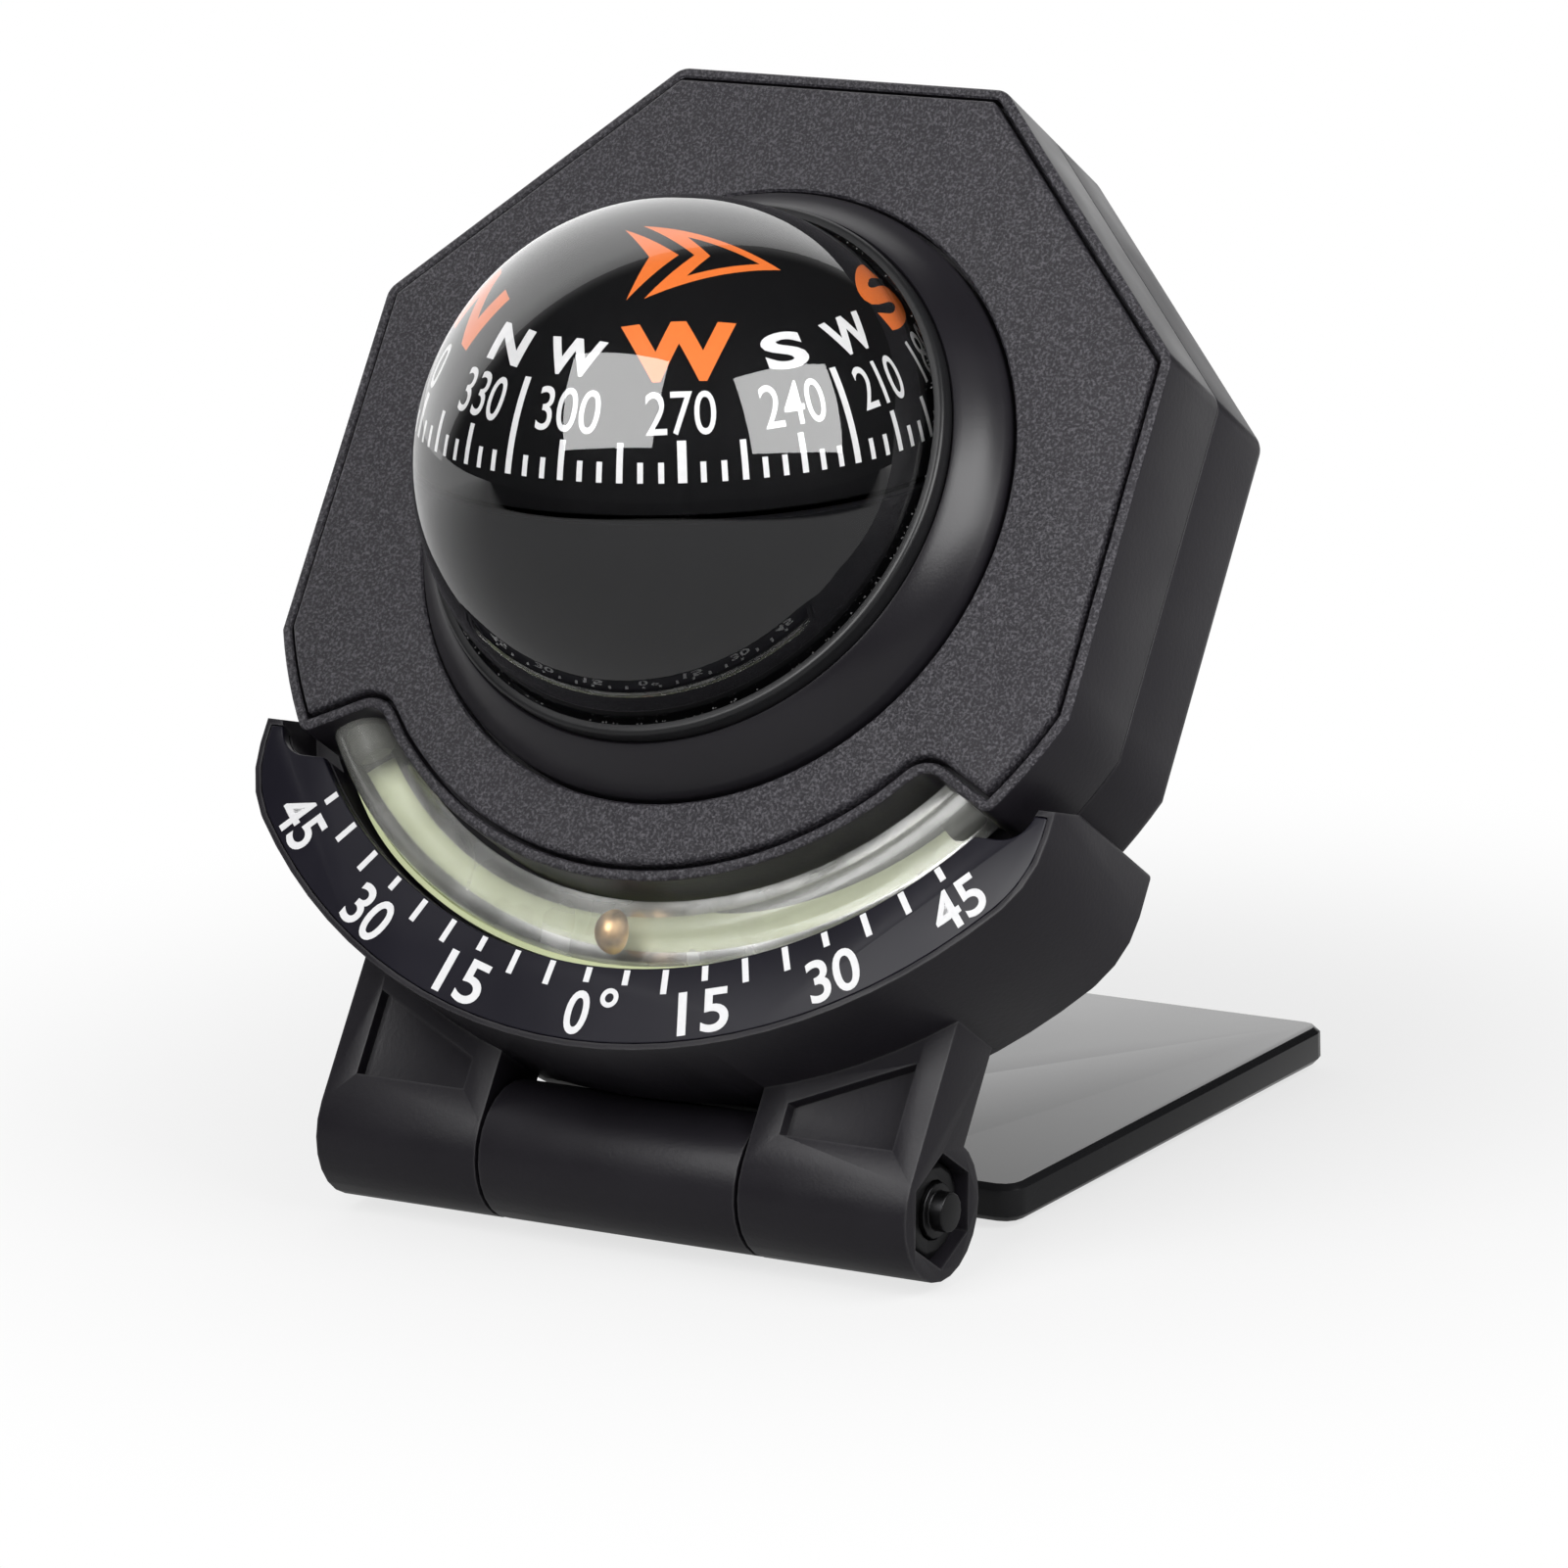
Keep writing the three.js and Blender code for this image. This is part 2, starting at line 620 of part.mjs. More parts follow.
function lumeStrip() {
  const low = notchFloorPlane + seatGap;
  const outer = scaleInnerRadius - seatGap;
  const inner = notchRadius + seatGap;
  const wallInner = outer - lumeThickness;
  const floor = slab(sector(inner, outer, -lumeEndDegrees, lumeEndDegrees), low, low + lumeThickness);
  const wall = slab(sector(wallInner, outer, -lumeEndDegrees, lumeEndDegrees), low, low + lumeWallRise);
  const bore = circlePoints(tubeRadius + seatGap / 2, 2 * tubeSides);
  const tunnel = alongLevel(bore, -tubeSocketDegrees, tubeSocketDegrees, tubeSteps);
  return piece('lume_strip', cut(join(floor, wall), tunnel), lume);
}

function levelBall() {
  const geometry = new THREE.SphereGeometry(levelBallRadius, 2 * ballRings, ballRings);
  const body = solid(geometry.translate(0, -tubeArcRadius, levelPlane));
  return piece('level_ball', body, brass);
}

// Outline of the cradle and its scale, drawn inwards from the outside by an inset; the inner edge
// runs from the top of the right ear round to the top of the left one
function cradleOutline(inset, inner) {
  const outerRadius = scaleOuterRadius - inset;
  const side = cradleHalfWidth - inset;
  const hip = new THREE.Vector2(side, -Math.sqrt(outerRadius ** 2 - side ** 2));
  const reachDegrees = degrees((hipStopShare * cradleHipRadius) / outerRadius);
  const endDegrees = angleFromDown(hip) - reachDegrees;
  const outer = arcPoints(outerRadius, -endDegrees, endDegrees);
  const tip = new THREE.Vector2(side, inner[0].y);
  const tipRadius = earRoundRadius / (1 + inset / earRoundRadius);
  const right = [
    ...rounded(outer[outer.length - 1], hip, tip, cradleHipRadius),
    ...rounded(hip, tip, inner[0], tipRadius),
  ];
  return [...outer, ...right, ...inner, ...mirrored(right)];
}

// Inner edge of the cradle behind the level: it holds the case's round underside
function seatEdge() {
  const radius = caseRadius + seatGap;
  const end = degrees(Math.acos(earTopBelow / radius));
  return arcPoints(radius, end, -end);
}

// Inner edge of the scale: round below the level, then a shelf and a slope up to each ear's tip
function scaleEdge(topBelow) {
  const tip = new THREE.Vector2(earTipInner, -earTopBelow);
  const corner = new THREE.Vector2(earShelfEnd, -earShelfBelow);
  const start = tip.lerp(corner, (topBelow - earTopBelow) / (earShelfBelow - earTopBelow));
  const shelf = new THREE.Vector2(Math.sqrt(scaleInnerRadius ** 2 - earShelfBelow ** 2), -earShelfBelow);
  const right = [start, ...rounded(start, corner, shelf, earShelfRadius)];
  const end = angleFromDown(shelf);
  return [...right, ...arcPoints(scaleInnerRadius, end, -end), ...mirrored(right)];
}

// Prism across the face above the ears, whose underside falls towards their front
function earSlope() {
  const fall = (earFrontTopBelow - earTopBelow) / (scalePlane - earSlopePlane);
  const back = new THREE.Vector2(overrun - earSlopePlane, fall * overrun - earTopBelow);
  const front = new THREE.Vector2(-overrun - scalePlane, -fall * overrun - earFrontTopBelow);
  const end = cradleHalfWidth + overrun;
  return slab([back, front, new THREE.Vector2(front.x, back.y)], -end, end).rotate([0, 90, 0]);
}

function leg(side) {
  const low = barrelRadius - legThickness;
  const inner = kneeHalfLength;
  const outer = barrelHalfLength;
  const topAt = (x) => -Math.sqrt((scaleOuterRadius - legTopInset) ** 2 - x ** 2);
  const outline = [
    new THREE.Vector2(inner, -faceHeight),
    new THREE.Vector2(outer, -faceHeight),
    new THREE.Vector2(outer, topAt(outer)),
    new THREE.Vector2(inner, topAt(inner)),
  ];
  const pocket = [
    new THREE.Vector2(inner + pocketMargin, pocketFootRise - faceHeight),
    new THREE.Vector2(outer - pocketMargin, pocketFootRise - faceHeight),
    new THREE.Vector2(outer - pocketMargin, pocketOuterRise - faceHeight),
    new THREE.Vector2(inner + pocketMargin, pocketInnerRise - faceHeight),
  ];
  const facing = (points) => (side > 0 ? points : mirrored(points));
  const panel = slab(facing(outline), low, barrelRadius);
  const recess = slab(facing(pocket), barrelRadius - pocketDepth, barrelRadius + overrun);
  const ends = [side * inner, side * outer].sort((a, b) => a - b);
  return { body: panel.add(hingeBar(barrelRadius, ...ends, roundSteps / 2)), recess };
}

function bracket() {
  const back = slab(cradleOutline(0, seatEdge()), cradleBackPlane, cradleStepPlane);
  const front = slab(cradleOutline(0, scaleEdge(earTopBelow)), cradleStepPlane - seatGap, scalePlane);
  const seatPlane = scalePlane - scaleThickness - seatGap;
  const seatOutline = cradleOutline(scaleRim, scaleEdge(earFrontTopBelow + scaleRim));
  const seat = slab(seatOutline, seatPlane, scalePlane + overrun);
  const legs = [-1, 1].map(leg);
  const caseSpace = slab(fullOutline(-seatGap), cradleBackPlane - overrun, cradleStepPlane);
  const knee = hingeBar(barrelRadius + runningGap, -kneeHalfLength, kneeHalfLength, roundSteps / 2);
  const bore = hingeBar(hingeBoreRadius, -barrelHalfLength - overrun, barrelHalfLength + overrun);
  const headHole = screwHeadRadius + seatGap;
  const headBore = hingeBar(headHole, -barrelHalfLength - overrun, headBoreDepth - barrelHalfLength);
  const nutFrom = barrelHalfLength - nutPocketDepth;
  const nutPocket = hexBar(nutAcross + 2 * seatGap, nutFrom, barrelHalfLength + overrun);
  const cores = coreSpansDegrees.flatMap(([from, to]) => [-1, 1].map((side) => {
    const span = [side * from, side * to].sort((a, b) => a - b);
    const outline = sector(coreInnerRadius, coreOuterRadius, ...span, coreSteps);
    return slab(outline, cradleBackPlane - overrun, seatPlane - coreFloor);
  }));
  const screwHoles = bracketScrewPlaces.map((x) =>
    upright(bracketScrewRadius + seatGap, x, caseAcross / 2, bracketScrewEndBelow + seatGap));
  const body = join(back, front, ...legs.map((one) => one.body));
  const recesses = legs.map((one) => one.recess);
  const holes = [bore, headBore, nutPocket, ...cores, ...screwHoles];
  return piece('bracket', cut(body, seat, earSlope(), caseSpace, knee, ...holes, ...recesses), blackPlastic);
}

function scalePlate() {
  const low = scalePlane - scaleThickness;
  const inset = scaleRim + seatGap;
  const outline = cradleOutline(inset, scaleEdge(earFrontTopBelow + inset));
  return piece('scale_plate', slab(outline, low, scalePlane), glossBlack);
}

// Hexagonal bar along the hinge axis with a corner up the face
function hexBar(across, from, to) {
  return hingeBar(across / 2 / Math.cos(Math.PI / 6), from, to, 6);
}

const nutFace = barrelHalfLength - nutPocketDepth + 2 * seatGap + washerThickness;

function hingeNut() {
  const end = nutFace + nutThickness;
  const body = hexBar(nutAcross, nutFace, end);
  const bore = hingeBar(hingeBoreRadius, nutFace - overrun, end + overrun);
  const corner = nutAcross / 2 / Math.cos(Math.PI / 6);
  const cone = new THREE.CylinderGeometry(corner, nutFaceRadius, nutChamfer, smallSteps);
  const chamfer = solid(cone.rotateZ(Math.PI / 2).translate(end - nutChamfer / 2, -faceHeight, 0));
  const shank = hingeBar(corner, nutFace, end - nutChamfer);
  return piece('hinge_nut', cut(body.intersect(shank.add(chamfer)), bore), blackSteel);
}

function hingeWasher() {
  const from = barrelHalfLength - nutPocketDepth + seatGap;
  const body = hingeBar(washerRadius, from, from + washerThickness);
  const bore = hingeBar(hingeBoreRadius, from - overrun, from + washerThickness + overrun);
  return piece('hinge_washer', body.subtract(bore), blackSteel);
}

function hingeScrew() {
  const headFrom = headBoreDepth - barrelHalfLength - seatGap;
  const head = hingeBar(screwHeadRadius, headFrom - screwHeadHeight, headFrom);
  const threadEnd = nutFace + nutThickness + seatGap;
  const shank = hingeBar(screwRadius, headFrom - seatGap, threadEnd);
  const end = hingeBar(screwEndRadius, threadEnd - seatGap, threadEnd + screwEndLength);
  const socket = hingeBar(screwSocketRadius, headFrom - screwHeadHeight - overrun,
    headFrom - screwHeadHeight + screwSocketDepth, 6);
  return piece('hinge_screw', cut(join(head, shank, end), socket), blackSteel);
}

// Self-tapping screw along z, its head's outer face at z = 0 and its shank running to a reach
function crossScrew(headRadius, headHeight, radius, reach) {
  const head = bar(headRadius, 0, headHeight);
  const shank = bar(radius, headHeight / 2, reach, smallSteps / 2);
  const slots = [[crossLength, crossWidth], [crossWidth, crossLength]].map(([x, y]) =>
    block(0, 0, 0, x, y, 2 * crossDepth));
  return cut(head.add(shank), ...slots);
}

function caseScrews() {
  const plane = caseBackPlane + caseScrewSink;
  const reach = caseScrewReach - plane;
  const body = crossScrew(caseScrewHeadRadius, caseScrewHeadHeight, caseScrewRadius, reach);
  return screwPlaces.map((p, i) =>
    piece(`case_screw_${i + 1}`, body.translate([p.x, p.y, plane]), blackSteel));
}

function bracketScrews() {
  const headBelow = bracketSeatBelow - seatGap - bracketScrewHeadHeight;
  const reach = bracketScrewEndBelow - headBelow;
  const screw = crossScrew(bracketScrewHeadRadius, bracketScrewHeadHeight, bracketScrewRadius, reach);
  const body = screw.rotate([90, 0, 0]);
  return bracketScrewPlaces.map((x, i) =>
    piece(`bracket_screw_${i + 1}`, body.translate([x, -headBelow, bracketScrewPlane]), blackSteel));
}

// Float pieces are drawn about the ball's centre; the float's two halves meet at its equator
const latitudeOf = (radius, height) => Math.asin(height / radius);

function compassCard() {
  const webTop = webHeight + webThickness;
  const cap = turned(capped([
    ...profileArc(cardRadius, 0, latitudeOf(cardRadius, runningGap), Math.PI / 2, domeRings),
    ...profileArc(cardInner, 0, Math.PI / 2, latitudeOf(cardInner, runningGap), domeRings),
  ]), roundSteps);
  const web = bar(cardInner + floatWall / 2, webHeight, webTop, roundSteps);
  const hub = bar(hubRadius, webHeight, cardInner + floatWall / 2);
  const socket = bar(jewelRadius + seatGap, webHeight - overrun, jewelDrop + jewelHeight + seatGap);
  const holes = Array.from({ length: webHoleCount }, (_, i) => {
    const place = polar(webHolePitch, 45 + (360 / webHoleCount) * i);
    return bar(webHoleRadius, webHeight - overrun, webTop + overrun).translate([place.x, place.y, 0]);
  });
  return piece('compass_card', cut(join(cap, web, hub), socket, ...holes), glossBlack);
}

function pivotJewel() {
  const cup = jewelDrop + jewelPocketDepth;
  const top = jewelDrop + jewelHeight;
  const cupEdge = [[0, cup], [jewelRadius - seatGap, jewelDrop]];
  const profile = [...cupEdge, [jewelRadius, jewelDrop], [jewelRadius, top], [0, top]];
  return piece('pivot_jewel', turned(profile, smallSteps), jewelRed);
}

function cardMagnets() {
  const height = webHeight - seatGap - magnetThickness / 2;
  const sizes = [magnetWidth, magnetLength, magnetThickness];
  return [-1, 1].map((side, i) =>
    piece(`card_magnet_${i + 1}`, block(side * magnetOffset, 0, height, ...sizes), steel));
}

function ballastBowl() {
  const pole = -Math.PI / 2;
  const shell = turned(capped([
    ...profileArc(bowlRadius, 0, pole, 0, domeRings - 1),
    ...profileArc(bowlInner, 0, 0, pole, domeRings - 2),
  ]), capsuleSteps);
  const column = bar(columnRadius, -bowlInner - floatWall / 2, columnTop);
  const socket = bar(pinRadius + pinSocketGap, columnTop - pinDepth, columnTop + overrun);
  return piece('ballast_bowl', cut(shell.add(column), socket), satinBlack);
}

function ballastWeight() {
  const inner = columnRadius + seatGap;
  const radius = bowlInner - seatGap;
  const top = weightEdge - Math.sqrt(radius ** 2 - weightRadius ** 2);
  const profile = [
    ...profileArc(radius, 0, -Math.acos(inner / radius), -Math.acos(weightRadius / radius), 4),
    [weightRadius, top],
    [inner, top],
  ];
  return piece('ballast_weight', turned(profile, capsuleSteps / 2), brass);
}

function pivotPin() {
  const low = columnTop - pinDepth + pinSocketGap;
  const high = jewelDrop + jewelPocketDepth - seatGap;
  const profile = [[0, low], [pinRadius, low], [pinRadius, high - pinTipLength], [0, high]];
  return piece('pivot_pin', turned(profile, smallSteps / 2), steel);
}

const hingeHeight = padThickness + knuckleLift + barrelRadius;
const hingeY = -(plateNear + plateLength / 2);

// Base: a flat plate with a neck to the hinge's middle knuckle
function basePlate() {
  const neckHalf = kneeHalfLength - runningGap;
  const half = plateWidth / 2;
  const far = plateLength / 2;
  const corners = [[-1, -1], [1, -1], [1, 1], [-1, 1]].map(([x, y]) => new THREE.Vector2(x * half, y * far));
  const outline = corners.flatMap((corner, i) =>
    rounded(corners[(i + 3) % 4], corner, corners[(i + 1) % 4], basePlateCornerRadius));
  const plate = new THREE.ExtrudeGeometry(new THREE.Shape(outline), {
    depth: basePlateThickness - 2 * basePlateChamfer,
    bevelThickness: basePlateChamfer,
    bevelSize: basePlateChamfer,
    bevelOffset: -basePlateChamfer,
    bevelSegments: 1,
  });
  const body = solid(plate.translate(0, 0, padThickness + basePlateChamfer));
  const neckLength = plateNear + basePlateCornerRadius;
  const neck = block(0, hingeY + neckLength / 2, padThickness + basePlateThickness / 2,
    2 * neckHalf, neckLength, basePlateThickness);
  const toHinge = [0, hingeY + faceHeight, hingeHeight];
  const knuckle = hingeBar(barrelRadius, -neckHalf, neckHalf, roundSteps / 2).translate(toHinge);
  const bore = hingeBar(hingeBoreRadius, -neckHalf - overrun, neckHalf + overrun).translate(toHinge);
  return piece('base_plate', cut(join(body, neck, knuckle), bore), glossBlack);
}

function adhesivePad() {
  const sizes = [plateWidth - 2 * padInset, plateLength - 2 * padInset, padThickness];
  const pad = block(0, 0, padThickness / 2, ...sizes);
  return piece('adhesive_pad', pad, foam);
}

const face = new THREE.Group();
face.position.y = faceHeight;
face.add(bracket(), scalePlate(), lumeStrip(), levelTube(), levelBall());
face.add(tubePlug('tube_plug_left', -1), tubePlug('tube_plug_right', 1));
face.add(frontShell(), rearShell(), facePlate(), ...caseScrews(), ...bracketScrews());
face.add(bezelRing(), domeGasket(), dome(), capsuleBack(), fillPlug());
face.add(hingeScrew(), hingeNut(), hingeWasher());

const head = new THREE.Group();
head.position.set(0, hingeY, hingeHeight);
head.rotation.x = Math.PI / 2 - radians(faceLeanDegrees);
head.add(face);

// The float hangs level in the liquid, about the ball's centre
const lean = radians(faceLeanDegrees);
const up = new THREE.Vector3(0, Math.sin(lean), Math.cos(lean));
const out = new THREE.Vector3(0, -Math.cos(lean), Math.sin(lean));
const ballCentre = head.position.clone().addScaledVector(up, faceHeight);
ballCentre.addScaledVector(out, domeCentrePlane);

const float = new THREE.Group();
float.position.copy(ballCentre);
float.rotation.z = radians(cardTurnDegrees);
float.add(ballastBowl(), ballastWeight(), pivotPin(), compassCard(), pivotJewel(), ...cardMagnets());

const compass = new THREE.Group();
compass.add(basePlate(), adhesivePad(), head, float);

export default compass;
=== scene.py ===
import json
import math

import bmesh
import bpy
import numpy as np
from mathutils import Matrix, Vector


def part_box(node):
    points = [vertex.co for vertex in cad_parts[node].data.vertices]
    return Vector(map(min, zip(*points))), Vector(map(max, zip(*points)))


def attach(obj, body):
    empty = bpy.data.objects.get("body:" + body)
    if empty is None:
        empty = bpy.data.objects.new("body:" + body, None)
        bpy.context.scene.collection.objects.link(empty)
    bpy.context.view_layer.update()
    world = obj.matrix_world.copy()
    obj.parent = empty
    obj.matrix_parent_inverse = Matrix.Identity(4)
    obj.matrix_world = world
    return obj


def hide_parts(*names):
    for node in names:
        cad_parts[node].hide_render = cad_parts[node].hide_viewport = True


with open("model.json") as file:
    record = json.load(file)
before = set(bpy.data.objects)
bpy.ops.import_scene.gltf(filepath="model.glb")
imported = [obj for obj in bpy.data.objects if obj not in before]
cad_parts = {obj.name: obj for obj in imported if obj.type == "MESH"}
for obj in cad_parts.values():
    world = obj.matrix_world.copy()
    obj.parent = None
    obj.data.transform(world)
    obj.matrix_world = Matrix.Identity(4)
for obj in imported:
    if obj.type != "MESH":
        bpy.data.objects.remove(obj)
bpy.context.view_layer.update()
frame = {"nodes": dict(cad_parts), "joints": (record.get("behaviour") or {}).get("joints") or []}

MM = 0.001

# Camera. A long lens stands to the right of the reader and a little above the compass. It is
# turned slightly about its own axis, and aimed past the hinge at the middle of the case.
joints = {joint["name"]: joint for joint in frame["joints"]}
hinge = np.array(joints["head_tilt"]["pos_m"])
camera_aim = hinge + np.array([4.58, 12.10, 24.19]) * MM
camera_distance = 577.76 * MM
camera_azimuth = math.radians(31.94)
camera_elevation = math.radians(14.14)
camera_roll = math.radians(-1.82)
focal_in_widths = 8769.27 / 1601
nearest_seen = 10 * MM


def in_scene(name, data):
    """Object of a name that shows the data, linked into the scene."""
    thing = bpy.data.objects.new(name, data)
    bpy.context.scene.collection.objects.link(thing)
    return thing


def stand(thing, axes, place):
    """Turns a camera or a lamp to three axes and stands it at a place."""
    pose = np.identity(4)
    pose[:3, :3] = np.column_stack(axes)
    pose[:3, 3] = place
    thing.matrix_world = Matrix(pose.tolist())


camera_data = bpy.data.cameras.new("camera")
camera_data.lens = focal_in_widths * camera_data.sensor_width
camera_data.clip_start = nearest_seen
camera = in_scene("camera", camera_data)
level_ahead = np.array([-math.sin(camera_azimuth), math.cos(camera_azimuth), 0.0])
level_right = np.array([math.cos(camera_azimuth), math.sin(camera_azimuth), 0.0])
ahead = level_ahead * math.cos(camera_elevation) - np.array([0, 0, math.sin(camera_elevation)])
level_up = np.cross(level_right, ahead)
right = math.cos(camera_roll) * level_right + math.sin(camera_roll) * level_up
upward = math.cos(camera_roll) * level_up - math.sin(camera_roll) * level_right
stand(camera, [right, upward, -ahead], camera_aim - camera_distance * ahead)
bpy.context.scene.camera = camera
bpy.context.scene.view_settings.view_transform = "Standard"

# Studio. A pale floor runs out to a white surround. Two softboxes stand in front and show as panes
# in the dome, a bright patch behind lights its rim, and the rest of the room is dim. Glossy
# surfaces mirror the floor as a grey table with a curved near edge, and as white beyond it.
floor_colour = (0.66, 0.66, 0.66, 1)
floor_half = 1500 * MM
floor_grain = MM / 0.9
floor_relief = 0.1 * MM
floor_clear_reach = (20 * MM, 100 * MM)
floor_least_clear = 0.70
floor_edge_ahead = (-410 * MM, -365 * MM)
floor_edge_middle = -60 * MM
floor_edge_reach = 300 * MM
floor_edge_bend = 315 * MM
floor_bright_ahead = (-20 * MM, 150 * MM)
floor_grey_share = 0.37
ambient_strength = 0.07
dim_side = 0.02
bright_side = (-160.6, 33.7)
bright_edge = (0.62, 0.84)
white = (1, 1, 1, 1)
# Name, shape, degrees across and up from the camera, distance, width, height and watts
lamps = [
    ("pane_left", "RECTANGLE", -31.4, 26.1, 315 * MM, 221 * MM, 216 * MM, 0.88),
    ("pane_right", "RECTANGLE", 46.9, 19.4, 240 * MM, 178 * MM, 139 * MM, 0.47),
    ("bright_sky", "DISK", *bright_side, 600 * MM, 1240 * MM, 1240 * MM, 2.4),
]


def piece_of(name, points, faces):
    """Object in the scene with the mesh of some points and faces."""
    mesh = bpy.data.meshes.new(name)
    mesh.from_pydata(np.asarray(points).tolist(), [], faces)
    return in_scene(name, mesh)


def node_of(tree, kind, *links, out=0, **settings):
    """Adds a shader node and gives one of its outputs. Settings are the node's own properties, and
    links are pairs of an input and the value or socket it takes."""
    node = tree.nodes.new("ShaderNode" + kind)
    for key, value in settings.items():
        setattr(node, key, value)
    for key, value in links:
        if isinstance(value, bpy.types.NodeSocket):
            tree.links.new(value, node.inputs[key])
        else:
            node.inputs[key].default_value = value
    return node.outputs[out]


def maths(tree, operation, *values):
    return node_of(tree, "Math", *enumerate(values), operation=operation)


def mapped(tree, value, start, end, low=0.0, high=1.0, **settings):
    """Carries a value from one range to another, and holds it at the ends."""
    return node_of(tree, "MapRange", ("Value", value), ("From Min", start), ("From Max", end),
                   ("To Min", low), ("To Max", high), **settings)


def share_along(tree, vector, direction):
    """Length of a vector along a direction: their dot product."""
    return node_of(tree, "VectorMath", (0, vector), (1, direction.tolist()),
                   operation="DOT_PRODUCT", out="Value")


def noise(tree, place, size, *links):
    return node_of(tree, "TexNoise", ("Vector", place), ("Scale", 1 / size), *links)


def bumped(tree, height, distance, *links):
    """Normal of a surface raised by up to a distance where the height is 1."""
    return node_of(tree, "Bump", ("Height", height), ("Distance", distance), *links)


def opaque(tree, tone, roughness, normal, *links):
    return node_of(tree, "BsdfPrincipled", ("Base Color", tone), ("Roughness", roughness),
                   ("Normal", normal), *links)


def is_ray(tree, kind):
    return node_of(tree, "LightPath", out=f"Is {kind} Ray")


def either(tree, share, first, second):
    """Mixes two shaders, the second by the share."""
    return node_of(tree, "MixShader", ("Fac", share), (1, first), (2, second))


def material_of(name):
    """New material; gives it, its empty node tree and the object's own coordinates."""
    material = bpy.data.materials.new(name)
    material.use_nodes = True
    material.node_tree.nodes.clear()
    place = node_of(material.node_tree, "TexCoord", out="Object")
    return material, material.node_tree, place


def surfaced(owner, shader, kind="Material"):
    """Sends a shader to the surface of a material or of the surround."""
    output = owner.node_tree.nodes.new("ShaderNodeOutput" + kind)
    owner.node_tree.links.new(shader, output.inputs["Surface"])
    return owner


def seen_from_camera(across_degrees, up_degrees):
    """Direction at an angle across and up from the line that runs back to the camera."""
    across = math.radians(across_degrees)
    rise = math.radians(up_degrees)
    return (-ahead * math.cos(rise) * math.cos(across)
            + level_right * math.cos(rise) * math.sin(across) + level_up * math.sin(rise))


floor_corners = np.array([(-1, -1, 0), (1, -1, 0), (1, 1, 0), (-1, 1, 0)]) * floor_half
floor = piece_of("floor", floor_corners, [(0, 1, 2, 3)])
pale_floor, tree, place = material_of("pale_floor")
away = node_of(tree, "VectorMath", (0, place), operation="LENGTH", out="Value")
clear = mapped(tree, away, *floor_clear_reach, floor_least_clear, interpolation_type="SMOOTHSTEP")
grain = bumped(tree, noise(tree, place, floor_grain), floor_relief, ("Strength", 0.15))
paper = opaque(tree, floor_colour, 0.85, grain, ("Specular IOR Level", 0.2))
cleared = either(tree, maths(tree, "MULTIPLY", clear, is_ray(tree, "Camera")), paper,
                 node_of(tree, "Emission", ("Color", white), ("Strength", 1.0)))
along = share_along(tree, place, level_ahead)
aside = maths(tree, "SUBTRACT", share_along(tree, place, level_right), floor_edge_middle)
far_aside = mapped(tree, maths(tree, "ABSOLUTE", aside), 0.0, floor_edge_reach)
bend = maths(tree, "MULTIPLY", maths(tree, "POWER", far_aside, 2.0), floor_edge_bend)
table = mapped(tree, maths(tree, "SUBTRACT", along, bend), *floor_edge_ahead,
               high=floor_grey_share)
beyond = mapped(tree, along, *floor_bright_ahead, high=1 - floor_grey_share)
mirrored = node_of(tree, "Emission", ("Color", white),
                   ("Strength", maths(tree, "ADD", table, beyond)))
surfaced(pale_floor, either(tree, is_ray(tree, "Glossy"), cleared, mirrored))
floor.data.materials.append(pale_floor)

world = bpy.data.worlds.new("surround")
bpy.context.scene.world = world
world.use_nodes = True
tree = world.node_tree
tree.nodes.clear()
behind = share_along(tree, node_of(tree, "TexCoord", out="Generated"),
                     seen_from_camera(*bright_side))
wall = mapped(tree, behind, *bright_edge, dim_side, interpolation_type="SMOOTHSTEP")
by_mirror = maths(tree, "MAXIMUM", is_ray(tree, "Glossy"), is_ray(tree, "Transmission"))
unseen = node_of(tree, "Mix", ("Factor", by_mirror), (2, ambient_strength), (3, wall),
                 data_type="FLOAT")
strength = node_of(tree, "Mix", ("Factor", is_ray(tree, "Camera")), (2, unseen), (3, 1.0),
                   data_type="FLOAT")
surfaced(world, node_of(tree, "Background", ("Color", white), ("Strength", strength)), "World")

float_centre = np.array(joints["card_spin"]["pos_m"])
for name, shape, across_degrees, up_degrees, distance, width, height, watts in lamps:
    towards = seen_from_camera(across_degrees, up_degrees)
    light = bpy.data.lights.new(name, "AREA")
    light.shape = shape
    light.size = width
    light.size_y = height
    light.energy = watts
    lamp = in_scene(name, light)
    lamp.visible_camera = False
    side = np.cross(level_up, towards)
    side = side / np.linalg.norm(side)
    stand(lamp, [side, np.cross(towards, side), towards], float_centre + distance * towards)

# Base plate. One black moulding: a flat plate, a neck and the hinge's middle knuckle. The plate is
# glossy and the knuckle matt, and its edges are rounded as the mould leaves them.
plate_edge = 0.35 * MM
gloss_colour = (0.012, 0.012, 0.013, 1)
speck_range = (0.46, 0.70)
speck_colour = (0.31, 0.30, 0.33, 1)
# Colour and reach of the painted highlight that lightens moulded edges.
edge_highlight_colour = (0.2, 0.2, 0.2, 1)
edge_highlight_reach = 0.3 * MM
stain_size = 9 * MM
weld_distance = 0.002 * MM
flat_within = math.radians(0.6)
rounded_from = math.radians(33)


def toned(colour, share):
    """A colour made lighter or darker by a share."""
    return tuple(share * c for c in colour[:3]) + (1,)


def blended(tree, share, first, second):
    """Mixes two colours, the second by the share."""
    return node_of(tree, "Mix", ("Factor", share), (6, first), (7, second), data_type="RGBA",
                   out=2)


